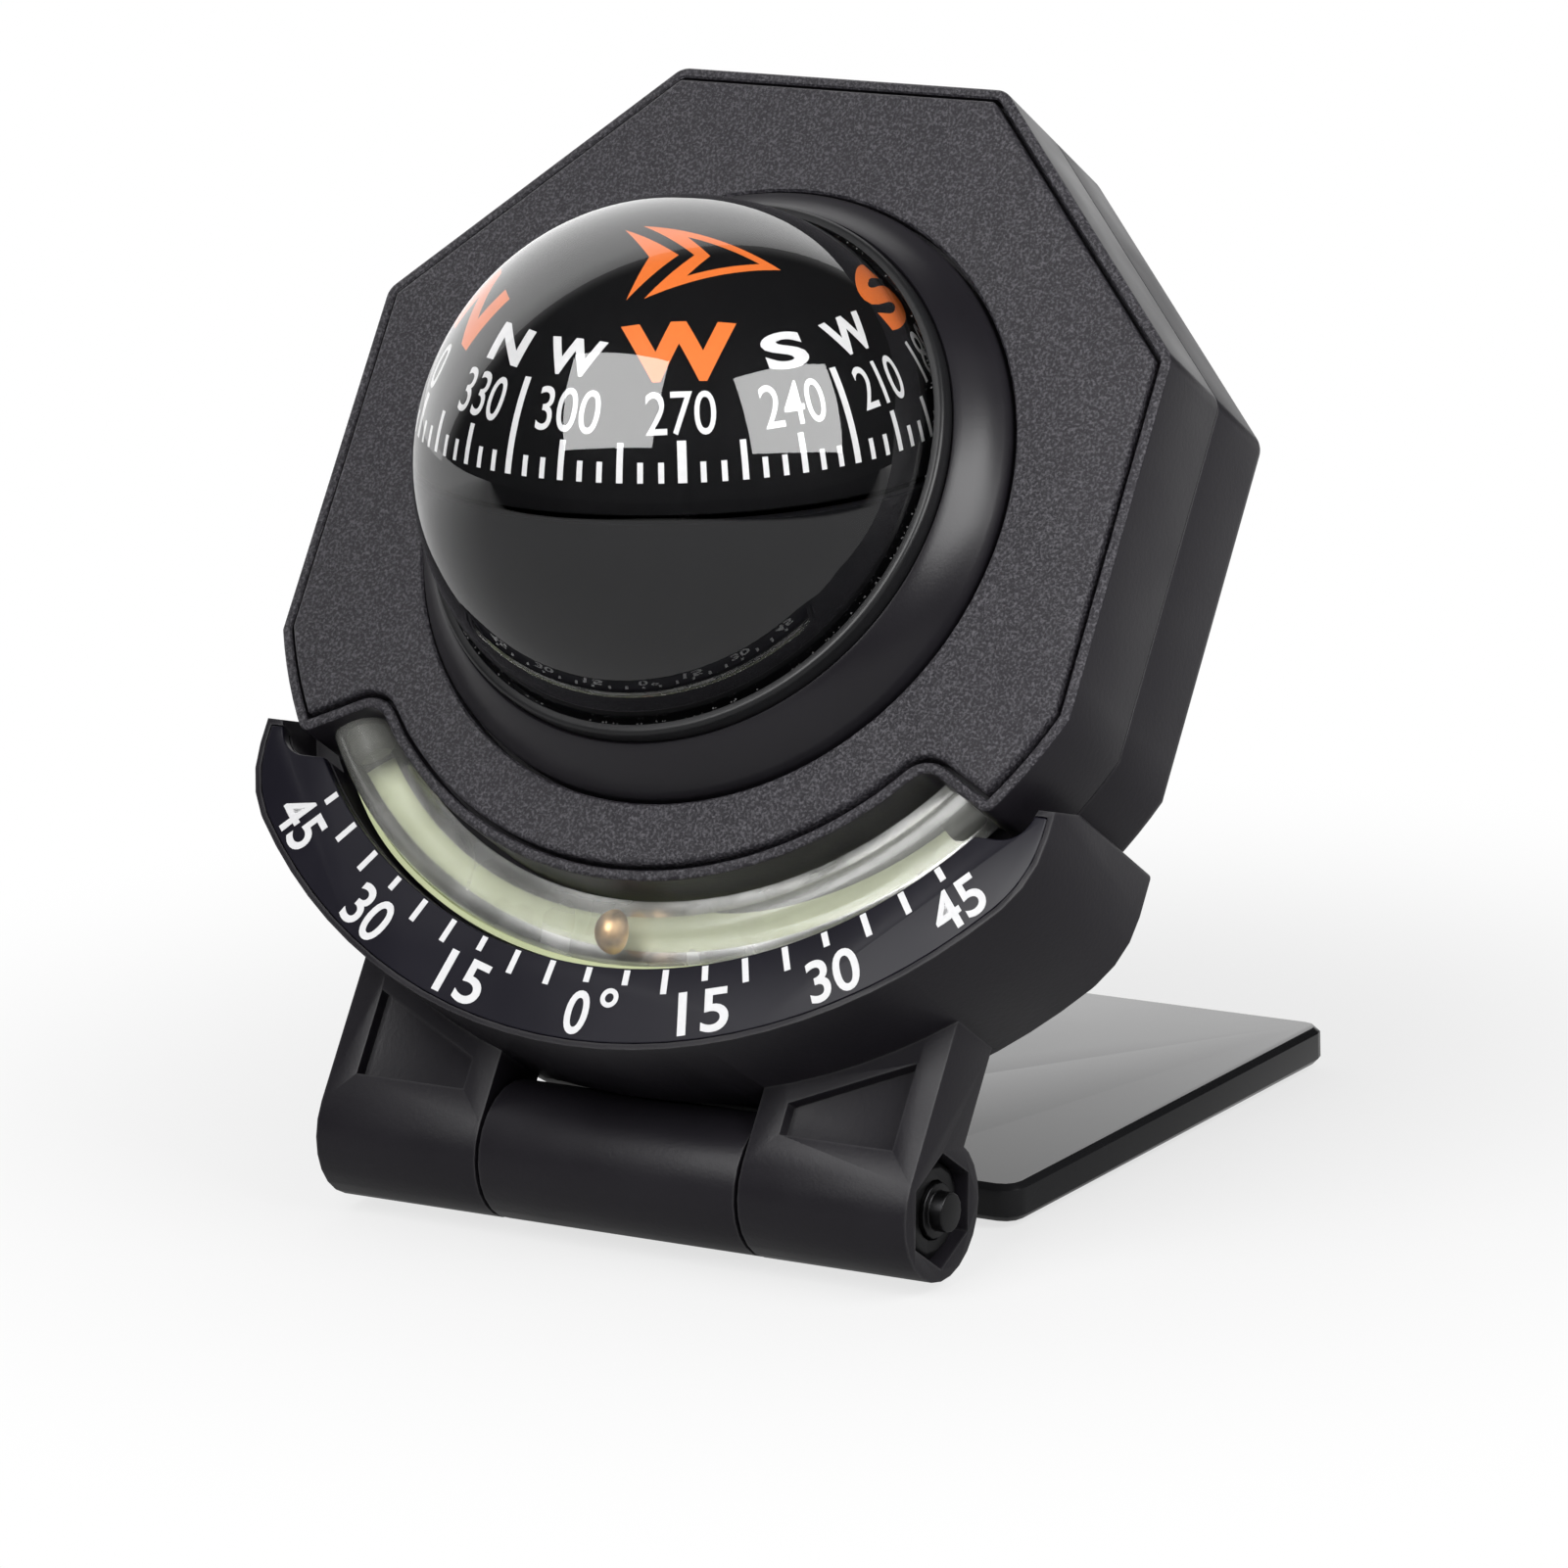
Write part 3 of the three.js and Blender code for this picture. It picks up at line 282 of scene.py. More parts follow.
def moulded(name, colour, roughness, grain=0.25 * MM, relief=0.012 * MM, specks=0.0,
            specular=0.5, edge_highlight=0.0):
    """Moulded plastic. Fine noise gives the surface its grain, as relief and as light specks; a
    slow noise polishes and dulls patches; a painted highlight lightens the edges, found by
    comparing the rounded normal."""
    material, tree, place = material_of(name)
    fine = noise(tree, place, grain, ("Detail", 3.0), ("Roughness", 0.6))
    slow = noise(tree, place, stain_size, ("Detail", 2.0))
    tone = blended(tree, slow, toned(colour, 0.78), toned(colour, 1.24))
    if specks:
        tone = blended(tree, mapped(tree, fine, *speck_range, high=specks), tone, speck_colour)
    # Painted highlight: edges, where the rounded normal turns away from the true one, are
    # lightened.
    if edge_highlight:
        rounded_normal = node_of(tree, "Bevel", ("Radius", edge_highlight_reach), samples=4)
        alike = node_of(tree, "VectorMath", (0, rounded_normal),
                        (1, node_of(tree, "NewGeometry", out="Normal")),
                        operation="DOT_PRODUCT", out="Value")
        tone = blended(tree, mapped(tree, alike, 1.0, 0.9, high=edge_highlight), tone, edge_highlight_colour)
    sheen = mapped(tree, slow, 0.3, 0.7, 0.88 * roughness, 1.12 * roughness)
    return surfaced(material, opaque(tree, tone, sheen, bumped(tree, fine, relief),
                                     ("Specular IOR Level", specular)))


def softened(node, name, radius, segments=3):
    """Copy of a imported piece: its corners are merged, its flat faces made whole, and each edge
    that is sharp enough is rounded to the radius."""
    mesh = frame["nodes"][node].data.copy()
    shape = bmesh.new()
    shape.from_mesh(mesh)
    bmesh.ops.remove_doubles(shape, verts=shape.verts, dist=weld_distance)
    bmesh.ops.dissolve_limit(shape, angle_limit=flat_within, verts=shape.verts, edges=shape.edges)
    shape.to_mesh(mesh)
    shape.free()
    mesh.name = name
    mesh.materials.clear()
    mesh.shade_smooth()
    piece = in_scene(name, mesh)
    edge = piece.modifiers.new("rounded edges", "BEVEL")
    edge.width = radius
    edge.segments = segments
    edge.limit_method = "ANGLE"
    edge.angle_limit = rounded_from
    edge.miter_outer = "MITER_ARC"
    smooth_by_angle(piece)
    return piece


def smooth_by_angle(piece, degrees=34):
    """Applies a piece's modifiers, then smooths it except across edges sharper than the angle."""
    graph = bpy.context.evaluated_depsgraph_get()
    finished = bpy.data.meshes.new_from_object(piece.evaluated_get(graph))
    piece.modifiers.clear()
    piece.data = finished
    finished.shade_smooth()
    finished.set_sharp_from_angle(angle=math.radians(degrees))


def dress(piece, material, body, slot, *nodes):
    """Gives a finished piece its material and the body it rides on, and hides the imported nodes it
    stands for. The slot is not used."""
    piece.data.materials.clear()
    piece.data.materials.append(material)
    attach(piece, body)
    if nodes:
        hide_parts(*nodes)


gloss_black = moulded("gloss_black_plastic", gloss_colour, 0.16, grain=0.9 * MM,
                      relief=0.002 * MM, specular=0.22)
base_plate = softened("base_plate", "base_plate_moulding", plate_edge)
dress(base_plate, gloss_black, "base", "gloss_black", "base_plate")

# Adhesive pad. Dark foam tape with an open grain, pressed under the plate.
foam_colour = (0.035, 0.035, 0.036, 1)
pad_edge = 0.12 * MM
foam = moulded("foam_tape", foam_colour, 0.95, grain=0.5 * MM, relief=0.06 * MM, specular=0.2)
dress(softened("adhesive_pad", "foam_pad", pad_edge), foam, "base", "foam_tape", "adhesive_pad")

# Bracket. One matt black moulding: a cradle under the case, two legs with shallow pockets and the
# hinge's two outer knuckles. Its edges are rounded, and a painted highlight lightens them.
moulding_colour = (0.0130, 0.0116, 0.0152, 1)
bracket_edge = 0.28 * MM
knuckle_reach = 6.0 * MM


def numbers_of(items, key, kind=float):
    """Three numbers of each item of a mesh, such as its points."""
    numbers = np.zeros(3 * len(items), kind)
    items.foreach_get(key, numbers)
    return numbers.reshape(-1, 3)


def face_middles(piece):
    return numbers_of(piece.data.polygons, "center")


def second_finish(piece, material, mask):
    """Gives a second material to the faces that a mask marks."""
    piece.data.materials.append(material)
    piece.data.polygons.foreach_set("material_index", mask.astype(np.int32))


# The black moulding carries a painted highlight along its edges.
black_moulding = moulded("black_moulding", moulding_colour, 0.42, grain=0.35 * MM,
                         relief=0.014 * MM, specular=0.30, edge_highlight=0.12)
bracket = softened("bracket", "bracket_moulding", bracket_edge)
dress(bracket, black_moulding, "head", "black_moulding", "bracket")
from_hinge = face_middles(base_plate) - hinge
at_knuckle = np.hypot(from_hinge[:, 1], from_hinge[:, 2]) < knuckle_reach
second_finish(base_plate, black_moulding, at_knuckle)

# Hinge hardware. A blackened steel screw crosses the knuckles from the left and is held by a
# washer and a nut in the right knuckle's hexagonal pocket.
steel_colour = (0.05, 0.05, 0.052, 1)
scratch_size = 0.6 * MM
scratch_relief = 0.004 * MM
hardware_edge = 0.1 * MM


def metal(name, colour, roughness):
    """Machined metal: a distorted noise marks it in relief, in tone and in polish."""
    material, tree, place = material_of(name)
    marks = noise(tree, place, scratch_size, ("Detail", 4.0), ("Distortion", 0.8))
    tone = blended(tree, marks, toned(colour, 0.7), colour)
    polish = mapped(tree, marks, 0.0, 1.0, 0.75 * roughness, 1.3 * roughness)
    return surfaced(material, opaque(tree, tone, polish, bumped(tree, marks, scratch_relief),
                                     ("Metallic", 1.0)))


black_steel = metal("black_steel", steel_colour, 0.38)
for node in ("hinge_nut", "hinge_washer", "hinge_screw"):
    dress(softened(node, node + "_turned", hardware_edge), black_steel, "head", "black_steel", node)

# Case. The rear shell is a cup with rounded back edges, and the front shell carries the lip and
# the notch that shows the level. Both are the bracket's matt black, and the lip has a coarse grain.
face_lean = math.radians(34.6)
face_height = 42.8 * MM
case_across = 62.0 * MM
case_radius = 33.554 * MM
case_corner = 1.5 * MM
least_corner = 0.08 * MM
case_wall = 1.8 * MM
case_floor = 1.6 * MM
case_back_edge = 1.4 * MM
case_back_plane = -1.0 * MM
case_back_flat = 3 * MM
parting_plane = 7.0 * MM
seat_gap = 0.3 * MM
parting_gap = 0.08 * MM
parting_round = 0.12 * MM
notch_radius = 27.6 * MM
notch_inner_degrees = 51.2
notch_outer_degrees = 53.4
notch_corner = 1.6 * MM
notch_corner_share = 1.3
notch_tip = 0.8 * MM
least_tip = 0.1 * MM
notch_floor_plane = 8.2 * MM
floor_hole_radius = 25.8 * MM
floor_inset = 0.03 * MM
floor_clearance = 0.05 * MM
lip_plane = 14.8 * MM
lip_width = 0.75 * MM
lip_round = 0.28 * MM
lip_bevel = 0.12 * MM
plate_top = 15.2 * MM
plate_bottom = 13.7 * MM
face_colour = (0.0155, 0.0138, 0.0185, 1)
side_steps = 10
corner_steps = 6
arc_steps = 56
rim_points = 7
end_steps = 4
x_axis = np.array([1.0, 0, 0])
up_the_face = np.array([0, math.sin(face_lean), math.cos(face_lean)])
out_of_face = np.array([0, -math.cos(face_lean), math.sin(face_lean)])
face_centre = hinge + face_height * up_the_face


def on_face(points):
    """Face points (across, up, out) in the frame: centre + across X + up V + out N."""
    points = np.asarray(points, float)
    return (face_centre + points[..., :1] * x_axis + points[..., 1:2] * up_the_face
            + points[..., 2:3] * out_of_face)


def at_plane(flat, plane):
    """Flat points set at a height out of the face."""
    return np.column_stack([flat, np.full(len(flat), plane)])


def polar(radius, degrees):
    """Points at an angle from straight down the face: (r sin a, -r cos a)."""
    angle = np.radians(degrees)
    return np.stack([radius * np.sin(angle), -radius * np.cos(angle)], -1)


def rounded(before, corner, after, radius, steps=corner_steps):
    """Arc of a radius between two straight runs: its centre lies r / sin(half angle) from the
    corner along the bisector, and its ends r / tan(half angle) along each run."""
    back = (before - corner) / np.linalg.norm(before - corner)
    on = (after - corner) / np.linalg.norm(after - corner)
    half = math.acos(np.clip(back @ on, -1, 1)) / 2
    bisector = (back + on) / np.linalg.norm(back + on)
    centre = corner + bisector * radius / math.sin(half)
    start = corner + back * radius / math.tan(half) - centre
    end = corner + on * radius / math.tan(half) - centre
    turn = math.atan2(start[0] * end[1] - start[1] * end[0], start @ end)
    angle = turn * np.linspace(0, 1, steps + 1)[:, None]
    return centre + np.cos(angle) * start + np.sin(angle) * np.array([-start[1], start[0]])


def with_straights(runs, steps=side_steps):
    """Joins runs of points, adding evenly spaced points along each straight between two runs."""
    share = np.linspace(0, 1, steps + 1)[1:-1, None]
    joined = [runs[0]]
    for last, run in zip(runs, runs[1:]):
        joined += [last[-1] + share * (run[0] - last[-1]), run]
    return np.concatenate(joined)


def degrees_from_down(points):
    return np.degrees(np.arctan2(points[..., 0], -points[..., 1]))


def notch_end(radius, inset):
    """Where the notch's end line, moved out by an inset, meets a circle about the face's centre."""
    inner = polar(notch_radius, notch_inner_degrees)
    along = polar(case_radius, notch_outer_degrees) - inner
    along = along / np.linalg.norm(along)
    start = inner + inset * np.array([-along[1], along[0]])
    foot = start - (start @ along) * along
    return foot + math.sqrt(radius ** 2 - foot @ foot) * along


def case_outline(inset, notched=True):
    """Case outline drawn inwards by an inset. Straight sides above meet at rounded corners; below,
    a notch between two circles, or the plain outer circle at the same angles."""
    apothem = case_across / 2 - inset
    outer = case_radius - inset
    low = -math.sqrt(outer ** 2 - apothem ** 2)
    octagon = polar(apothem / math.cos(math.pi / 8), np.array([112.5, 157.5, 202.5, 247.5]))
    corners = [np.array([apothem, low]), *octagon, np.array([-apothem, low])]
    radius = max(case_corner - inset, least_corner)
    middle = [rounded(a, b, c, radius) for a, b, c in zip(corners, corners[1:], corners[2:])]
    upper = with_straights([corners[0][None], *middle, corners[-1][None]])
    inner = notch_radius - inset
    corner_radius = notch_corner + inset
    tip = notch_end(outer, inset)
    corner = notch_end(inner, inset)
    clear = degrees_from_down(corner) - math.degrees(notch_corner_share * corner_radius / inner)
    arc = polar(inner, np.linspace(-clear, clear, arc_steps + 1))
    rim = polar(outer, np.linspace(degrees_from_down(tip), degrees_from_down(upper[0]), rim_points))
    tip_arc = rounded(corner, tip, rim[1], max(notch_tip - inset, least_tip))
    corner_arc = rounded(arc[-1], corner, tip, corner_radius)
    right_side = np.concatenate([with_straights([corner_arc, tip_arc], end_steps), rim[1:-1]])
    left_side = right_side[::-1] * np.array([-1, 1])
    lower = np.concatenate([left_side, arc[1:-1], right_side])
    if not notched:
        lower = polar(outer, degrees_from_down(lower))
    return np.concatenate([upper, lower])


def round_outline(inset):
    return case_outline(inset, False)


def rows_of(outline, profile):
    """Rings of points: the outline at each (inset, plane) of a profile."""
    return on_face(np.array([at_plane(outline(inset), plane) for inset, plane in profile]))


def hole_rows(outline, profile):
    """Rings of a round hole at each (radius, plane) of a profile, with one point at the angle of
    each point of an outline."""
    angles = degrees_from_down(outline)
    return rows_of(lambda radius: polar(radius, angles), profile)


def quarter(inset, plane, radius, start_degrees, steps=4):
    """Quarter round in a profile, about a centre at (inset, plane), as (inset, plane) pairs."""
    angles = np.radians(start_degrees + np.linspace(0, 90, steps + 1))
    return [(inset - radius * math.cos(a), plane + radius * math.sin(a)) for a in angles]


def ring_piece(name, rings, joined=False, capped=False, smooth_degrees=34):
    """Closed skin over rings of points: quads between neighbours, each ring closed on itself. The
    last ring joins the first, or one flat face closes each end. Faces are turned outwards, so
    that the corners' triple products about the middle add up to more than nothing."""
    count, around = rings.shape[:2]
    row = np.arange(count if joined else count - 1)[:, None]
    step = np.arange(around)[None]
    after = (step + 1) % around
    above = (row + 1) % count
    quads = np.stack([row * around + step, row * around + after, above * around + after,
                      above * around + step], -1).reshape(-1, 4)
    faces = quads.tolist()
    if capped:
        faces += [list(range(around))[::-1], list(range((count - 1) * around, count * around))]
    points = rings.reshape(-1, 3)
    first, second, third, fourth = (points[quads] - points.mean(0)).transpose(1, 0, 2)
    if np.sum(first * (np.cross(second, third) + np.cross(third, fourth))) < 0:
        faces = [face[::-1] for face in faces]
    piece = piece_of(name, points, faces)
    smooth_by_angle(piece, smooth_degrees)
    return piece


rear_top = parting_plane - parting_gap / 2
rear_profile = [(case_back_edge + case_back_flat, case_back_plane)]
rear_profile += quarter(case_back_edge, case_back_plane + case_back_edge, case_back_edge, -90, 8)
rear_profile += quarter(parting_round, rear_top - parting_round, parting_round, 0, 3)
rear_profile += [(case_wall, rear_top), (case_wall, case_back_plane + case_floor)]
rear_shell = ring_piece("rear_case", rows_of(round_outline, rear_profile), capped=True)
dress(rear_shell, black_moulding, "head", "black_moulding", "rear_shell")

front_low = parting_plane + parting_gap / 2
groove_floor = plate_bottom - 1.5 * seat_gap
front_profile = quarter(parting_round, front_low + parting_round, parting_round, -90, 3)
front_profile += quarter(lip_round, lip_plane - lip_round, lip_round, 0)
front_profile += [(lip_width - lip_bevel, lip_plane), (lip_width, lip_plane - lip_bevel),
                  (lip_width, groove_floor), (case_wall, groove_floor), (case_wall, front_low)]
front_shell = ring_piece("front_case", rows_of(case_outline, front_profile), joined=True)
dress(front_shell, black_moulding, "head", "black_moulding", "front_shell")
textured_face = moulded("spark_eroded_face", face_colour, 0.5, grain=0.20 * MM, relief=0.10 * MM,
                        specks=0.29, specular=0.40)
front_out_by = (face_middles(front_shell) - face_centre) @ out_of_face
second_finish(front_shell, textured_face, front_out_by > lip_plane - lip_round / 2)

floor_low = front_low + floor_clearance
floor_sides = [(floor_inset, floor_low), (floor_inset, notch_floor_plane)]
floor_hole = [(floor_hole_radius, notch_floor_plane), (floor_hole_radius, floor_low)]
floor_rings = np.concatenate([rows_of(round_outline, floor_sides),
                              hole_rows(round_outline(floor_inset), floor_hole)])
front_floor = ring_piece("front_case_floor", floor_rings, joined=True)
dress(front_floor, black_moulding, "head", "black_moulding", "front_shell")

# Screws. Four cross-headed tapping screws sit in recesses of the rear shell's bosses, and two more
# hold the case to the cradle from inside.
screw_head_recess = 2.3 * MM
screw_recess_floor = 1.3 * MM
screw_recess_flare = 0.3 * MM
screw_edge = 0.08 * MM
boss_radius = 3.1 * MM
boss_top = 3.0 * MM
past_back = 1 * MM
boss_steps = 48
pole_weld = 0.0001 * MM


def turned_piece(name, profile, across=0.0, up=0.0, steps=128, joined=False, place=on_face):
    """Surface turned about an axis out of the face: (r cos t, r sin t, z) for each (r, z) of the
    profile. A profile either closes on itself or starts and ends on the axis, at its poles."""
    profile = np.asarray(profile, float)
    turn = np.linspace(0, 2 * math.pi, steps, endpoint=False)
    rings = np.stack([across + profile[:, :1] * np.cos(turn), up + profile[:, :1] * np.sin(turn),
                      np.broadcast_to(profile[:, 1:], (len(profile), steps))], -1)
    piece = ring_piece(name, place(rings), joined=joined)
    if not joined:
        shape = bmesh.new()
        shape.from_mesh(piece.data)
        bmesh.ops.remove_doubles(shape, verts=shape.verts, dist=pole_weld)
        shape.to_mesh(piece.data)
        shape.free()
    return piece


def combine(piece, tool, operation):
    """Joins a second closed shape to a piece, or cuts it out, and takes the second shape away."""
    change = piece.modifiers.new("change", "BOOLEAN")
    change.operation = operation
    change.solver = "EXACT"
    change.object = tool
    smooth_by_angle(piece)
    bpy.data.objects.remove(tool)


recess_mouth = screw_head_recess + screw_recess_flare
recess_profile = [(0, case_back_plane - past_back), (recess_mouth, case_back_plane - past_back),
                  (recess_mouth, case_back_plane),
                  (screw_head_recess, case_back_plane + screw_recess_flare),
                  (screw_head_recess, screw_recess_floor), (0, screw_recess_floor)]
boss_foot = case_back_plane + case_floor / 2
boss_profile = [(0, boss_foot), (boss_radius, boss_foot), (boss_radius, boss_top), (0, boss_top)]
case_screws = [f"case_screw_{count}" for count in (1, 2, 3, 4)]
for node in case_screws:
    low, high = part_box(node)
    middle = (np.array(low) + np.array(high)) / 2 - face_centre
    spot = (middle[0], middle @ up_the_face)
    combine(rear_shell, turned_piece("boss", boss_profile, *spot, boss_steps), "UNION")
    combine(rear_shell, turned_piece("recess", recess_profile, *spot, boss_steps), "DIFFERENCE")
for node in (*case_screws, "bracket_screw_1", "bracket_screw_2"):
    dress(softened(node, node + "_driven", screw_edge), black_steel, "head", "black_steel", node)

# Face plate. A separate moulding with a coarse spark-eroded grain lies inside the lip, a dark
# groove away from it, and stands a little proud with a rounded edge.
groove_width = 0.3 * MM
plate_round = 0.32 * MM
plate_hole_radius = 22.3 * MM
plate_hole_bevel = 0.15 * MM
plate_inset = lip_width + groove_width
plate_profile = [(plate_inset, plate_bottom)]
plate_profile += [(plate_inset + inset, plane) for inset, plane
                  in quarter(plate_round, plate_top - plate_round, plate_round, 0)]
plate_hole = [(plate_hole_radius + plate_hole_bevel, plate_top),
              (plate_hole_radius, plate_top - plate_hole_bevel), (plate_hole_radius, plate_bottom)]
plate_rings = np.concatenate([rows_of(case_outline, plate_profile),
                              hole_rows(case_outline(plate_inset), plate_hole)])
face_plate = ring_piece("textured_face", plate_rings, joined=True)
dress(face_plate, textured_face, "head", "textured_face", "face_plate")

# Bezel ring. A satin cone rises from the face plate to the dome's gasket; its flange is trapped
# under the face plate.
rim_radius = 19.34 * MM
rim_plane = 18.8 * MM
rim_land = 0.3 * MM
rim_fall = 0.1 * MM
rim_bevel = 0.16 * MM
rim_dip = 0.03 * MM
bezel_outer = 22.0 * MM
bezel_foot_plane = 15.5 * MM
bezel_flange_radius = 24.1 * MM
bezel_flange_top = 13.4 * MM
bezel_flange_bottom = 12.1 * MM
bezel_crown = 0.22 * MM
bezel_steps = 160
cone_steps = 8
satin_colour = (0.0118, 0.0106, 0.0136, 1)
cone_top_radius = rim_radius + rim_land
cone_share = np.linspace(0, 1, cone_steps + 1)
cone_r = bezel_outer + cone_share * (cone_top_radius - bezel_outer)
cone_z = bezel_foot_plane + cone_share * (rim_plane - rim_fall - bezel_foot_plane)
swell = bezel_crown * np.sin(math.pi * cone_share)
slope = np.array([rim_plane - bezel_foot_plane, bezel_outer - cone_top_radius])
slope = slope / np.linalg.norm(slope)
bezel_profile = [(rim_radius, bezel_flange_bottom), (bezel_flange_radius, bezel_flange_bottom),
                 (bezel_flange_radius, bezel_flange_top), (bezel_outer, bezel_flange_top)]
bezel_profile += list(zip(cone_r + swell * slope[0], cone_z + swell * slope[1]))
bezel_profile += [(rim_radius + rim_bevel, rim_plane - rim_dip),
                  (rim_radius, rim_plane - rim_bevel)]
satin_ring = moulded("satin_ring", satin_colour, 0.33, grain=0.22 * MM, relief=0.006 * MM)
bezel_ring = turned_piece("bezel_cone", bezel_profile, joined=True, steps=bezel_steps)
dress(bezel_ring, satin_ring, "head", "satin_ring", "bezel_ring")

# Dome gasket. A black rubber ring fills the step between the bezel's rim and the dome.
gasket_inner = 18.6 * MM
gasket_outer = 19.3 * MM
gasket_top = 20.0 * MM
gasket_bottom = 16.6 * MM
gasket_lip = 0.35 * MM
gasket_bevel = 0.05 * MM
rubber_colour = (0.010, 0.010, 0.011, 1)


def arc_profile(radius, centre, start, end, steps, across=0.0):
    """Arc in a profile: (across + R cos a, centre + R sin a), with an exact zero on the axis."""
    angles = np.linspace(start, end, steps + 1)
    reach = np.where(np.abs(np.cos(angles)) < 1e-9, 0.0, radius * np.cos(angles))
    return list(zip(across + reach, centre + radius * np.sin(angles)))


gasket_profile = [(gasket_inner, gasket_bottom), (gasket_outer, gasket_bottom)]
gasket_profile += arc_profile(gasket_lip, gasket_top - gasket_lip, 0, math.pi / 2, 5,
                              gasket_outer - gasket_lip)
gasket_profile += [(gasket_inner + gasket_bevel, gasket_top),
                   (gasket_inner, gasket_top - gasket_bevel)]
seal_rubber = moulded("seal_rubber", rubber_colour, 0.36, grain=0.6 * MM, relief=0.01 * MM)
gasket = turned_piece("gasket_ring", gasket_profile, joined=True, steps=bezel_steps)
dress(gasket, seal_rubber, "head", "seal_rubber", "dome_gasket")

# Glue beads. The sealant that was pressed out between gasket and dome stands in tiny clear beads.
bead_count = 170
bead_sizes = (0.035 * MM, 0.085 * MM)
bead_height = 0.7
bead_foot_radius = 18.5 * MM
bead_plane = 19.85 * MM
bead_scatter = (-0.1, 0.25)
bead_seed = 4
glue_colour = (0.09, 0.09, 0.09, 1)


def arrays_of(shape):
    """Points and triangles of a shape made of triangles alone, which is then freed."""
    mesh = bpy.data.meshes.new("triangles")
    shape.to_mesh(mesh)
    shape.free()
    arrays = numbers_of(mesh.vertices, "co"), numbers_of(mesh.polygons, "vertices", int)
    bpy.data.meshes.remove(mesh)
    return arrays


random = np.random.default_rng(bead_seed)
shape = bmesh.new()
bmesh.ops.create_icosphere(shape, subdivisions=1, radius=1.0)
unit_ball, unit_faces = arrays_of(shape)
bead_turn = random.uniform(0, 2 * math.pi, bead_count)
bead_radius = random.uniform(*bead_sizes, bead_count)
bead_places = np.stack([bead_foot_radius * np.cos(bead_turn), bead_foot_radius * np.sin(bead_turn),
                        bead_plane + random.uniform(*bead_scatter, bead_count) * MM], -1)
bead_points = unit_ball * bead_radius[:, None, None] * np.array([1, 1, bead_height])
bead_points = (bead_places[:, None] + bead_points).reshape(-1, 3)
bead_faces = unit_faces + len(unit_ball) * np.arange(bead_count)[:, None, None]
glue_beads = piece_of("glue_beads", on_face(bead_points), bead_faces.reshape(-1, 3).tolist())
glue_beads.data.shade_smooth()
glue = moulded("clear_glue", glue_colour, 0.3, grain=0.2 * MM, relief=0.001 * MM, specular=0.45)
dress(glue_beads, glue, "head", "seal_rubber")

# Capsule. The clear dome is filled with liquid, which bends what is inside it into view, and is
# closed behind by a black cup with a rubber plug in its filling hole.
dome_radius = 18.3 * MM
dome_inner = 17.1 * MM
dome_centre_plane = 19.3 * MM
dome_flange_top = 16.3 * MM
dome_flange_bottom = 15.0 * MM
dome_rings = 40
liquid_index = 1.42
mirror_index = 1.75
smear_size = 6 * MM
smear_relief = 0.003 * MM
cloud_size = 4 * MM
cloud_colour = (0.985, 0.985, 0.98, 1)
milk_colour = (0.75, 0.76, 0.70, 1)


def clear_plastic(name, roughness, index, blur=0.0, milk_share=0.0):
    """Clear moulded acrylic with liquid behind it: by Fresnel's law the surface mirrors, and bends
    the rest in; lamps shine straight through. Slow noise wipes it, and milk makes it cloudy."""
    material, tree, place = material_of(name)
    smear = noise(tree, place, smear_size, ("Detail", 2.0))
    wiped = mapped(tree, smear, 0.35, 0.8, roughness, 2.5 * roughness)
    gloss = node_of(tree, "BsdfGlossy", ("Color", white), ("Roughness", wiped),
                    ("Normal", bumped(tree, smear, smear_relief)))
    bent = node_of(tree, "BsdfRefraction", ("Color", white), ("IOR", index), ("Roughness", blur))
    if milk_share:
        bent = either(tree, milk_share, bent, node_of(tree, "BsdfDiffuse", ("Color", milk_colour)))
    surface = either(tree, node_of(tree, "Fresnel", ("IOR", mirror_index)), bent, gloss)
    straight = node_of(tree, "BsdfTransparent", ("Color", white))
    lit = maths(tree, "MAXIMUM", is_ray(tree, "Shadow"), is_ray(tree, "Diffuse"))
    return surfaced(material, either(tree, lit, surface, straight))


def wetted(name):
    """Inner wall against the liquid: it neither mirrors nor bends, and is very faintly cloudy."""
    material, tree, place = material_of(name)
    tint = blended(tree, noise(tree, place, cloud_size), cloud_colour, white)
    return surfaced(material, node_of(tree, "BsdfTransparent", ("Color", tint)))


def finish_packed(material, *nodes):
    """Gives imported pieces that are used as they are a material."""
    for node in nodes:
        for held in frame["nodes"][node].material_slots:
            held.material = material


dome_profile = arc_profile(dome_radius, dome_centre_plane, math.pi / 2, 0, dome_rings)
dome_profile += [(dome_radius, dome_flange_top), (gasket_outer, dome_flange_top),
                 (gasket_outer, dome_flange_bottom), (dome_inner, dome_flange_bottom)]
dome_profile += arc_profile(dome_inner, dome_centre_plane, 0, math.pi / 2, dome_rings)
dome_clear = clear_plastic("clear_dome", 0.012, liquid_index)
wet_wall = wetted("wet_wall")
dome = turned_piece("clear_dome", dome_profile, steps=144)
dress(dome, dome_clear, "head", "clear_plastic", "dome")
from_centre = face_middles(dome) - float_centre
off_axis = np.linalg.norm(np.cross(from_centre, out_of_face), axis=1)
from_seat = np.hypot(off_axis, np.maximum(from_centre @ out_of_face, 0))
second_finish(dome, wet_wall, from_seat < (dome_radius + dome_inner) / 2)
finish_packed(gloss_black, "capsule_back")
finish_packed(seal_rubber, "fill_plug")

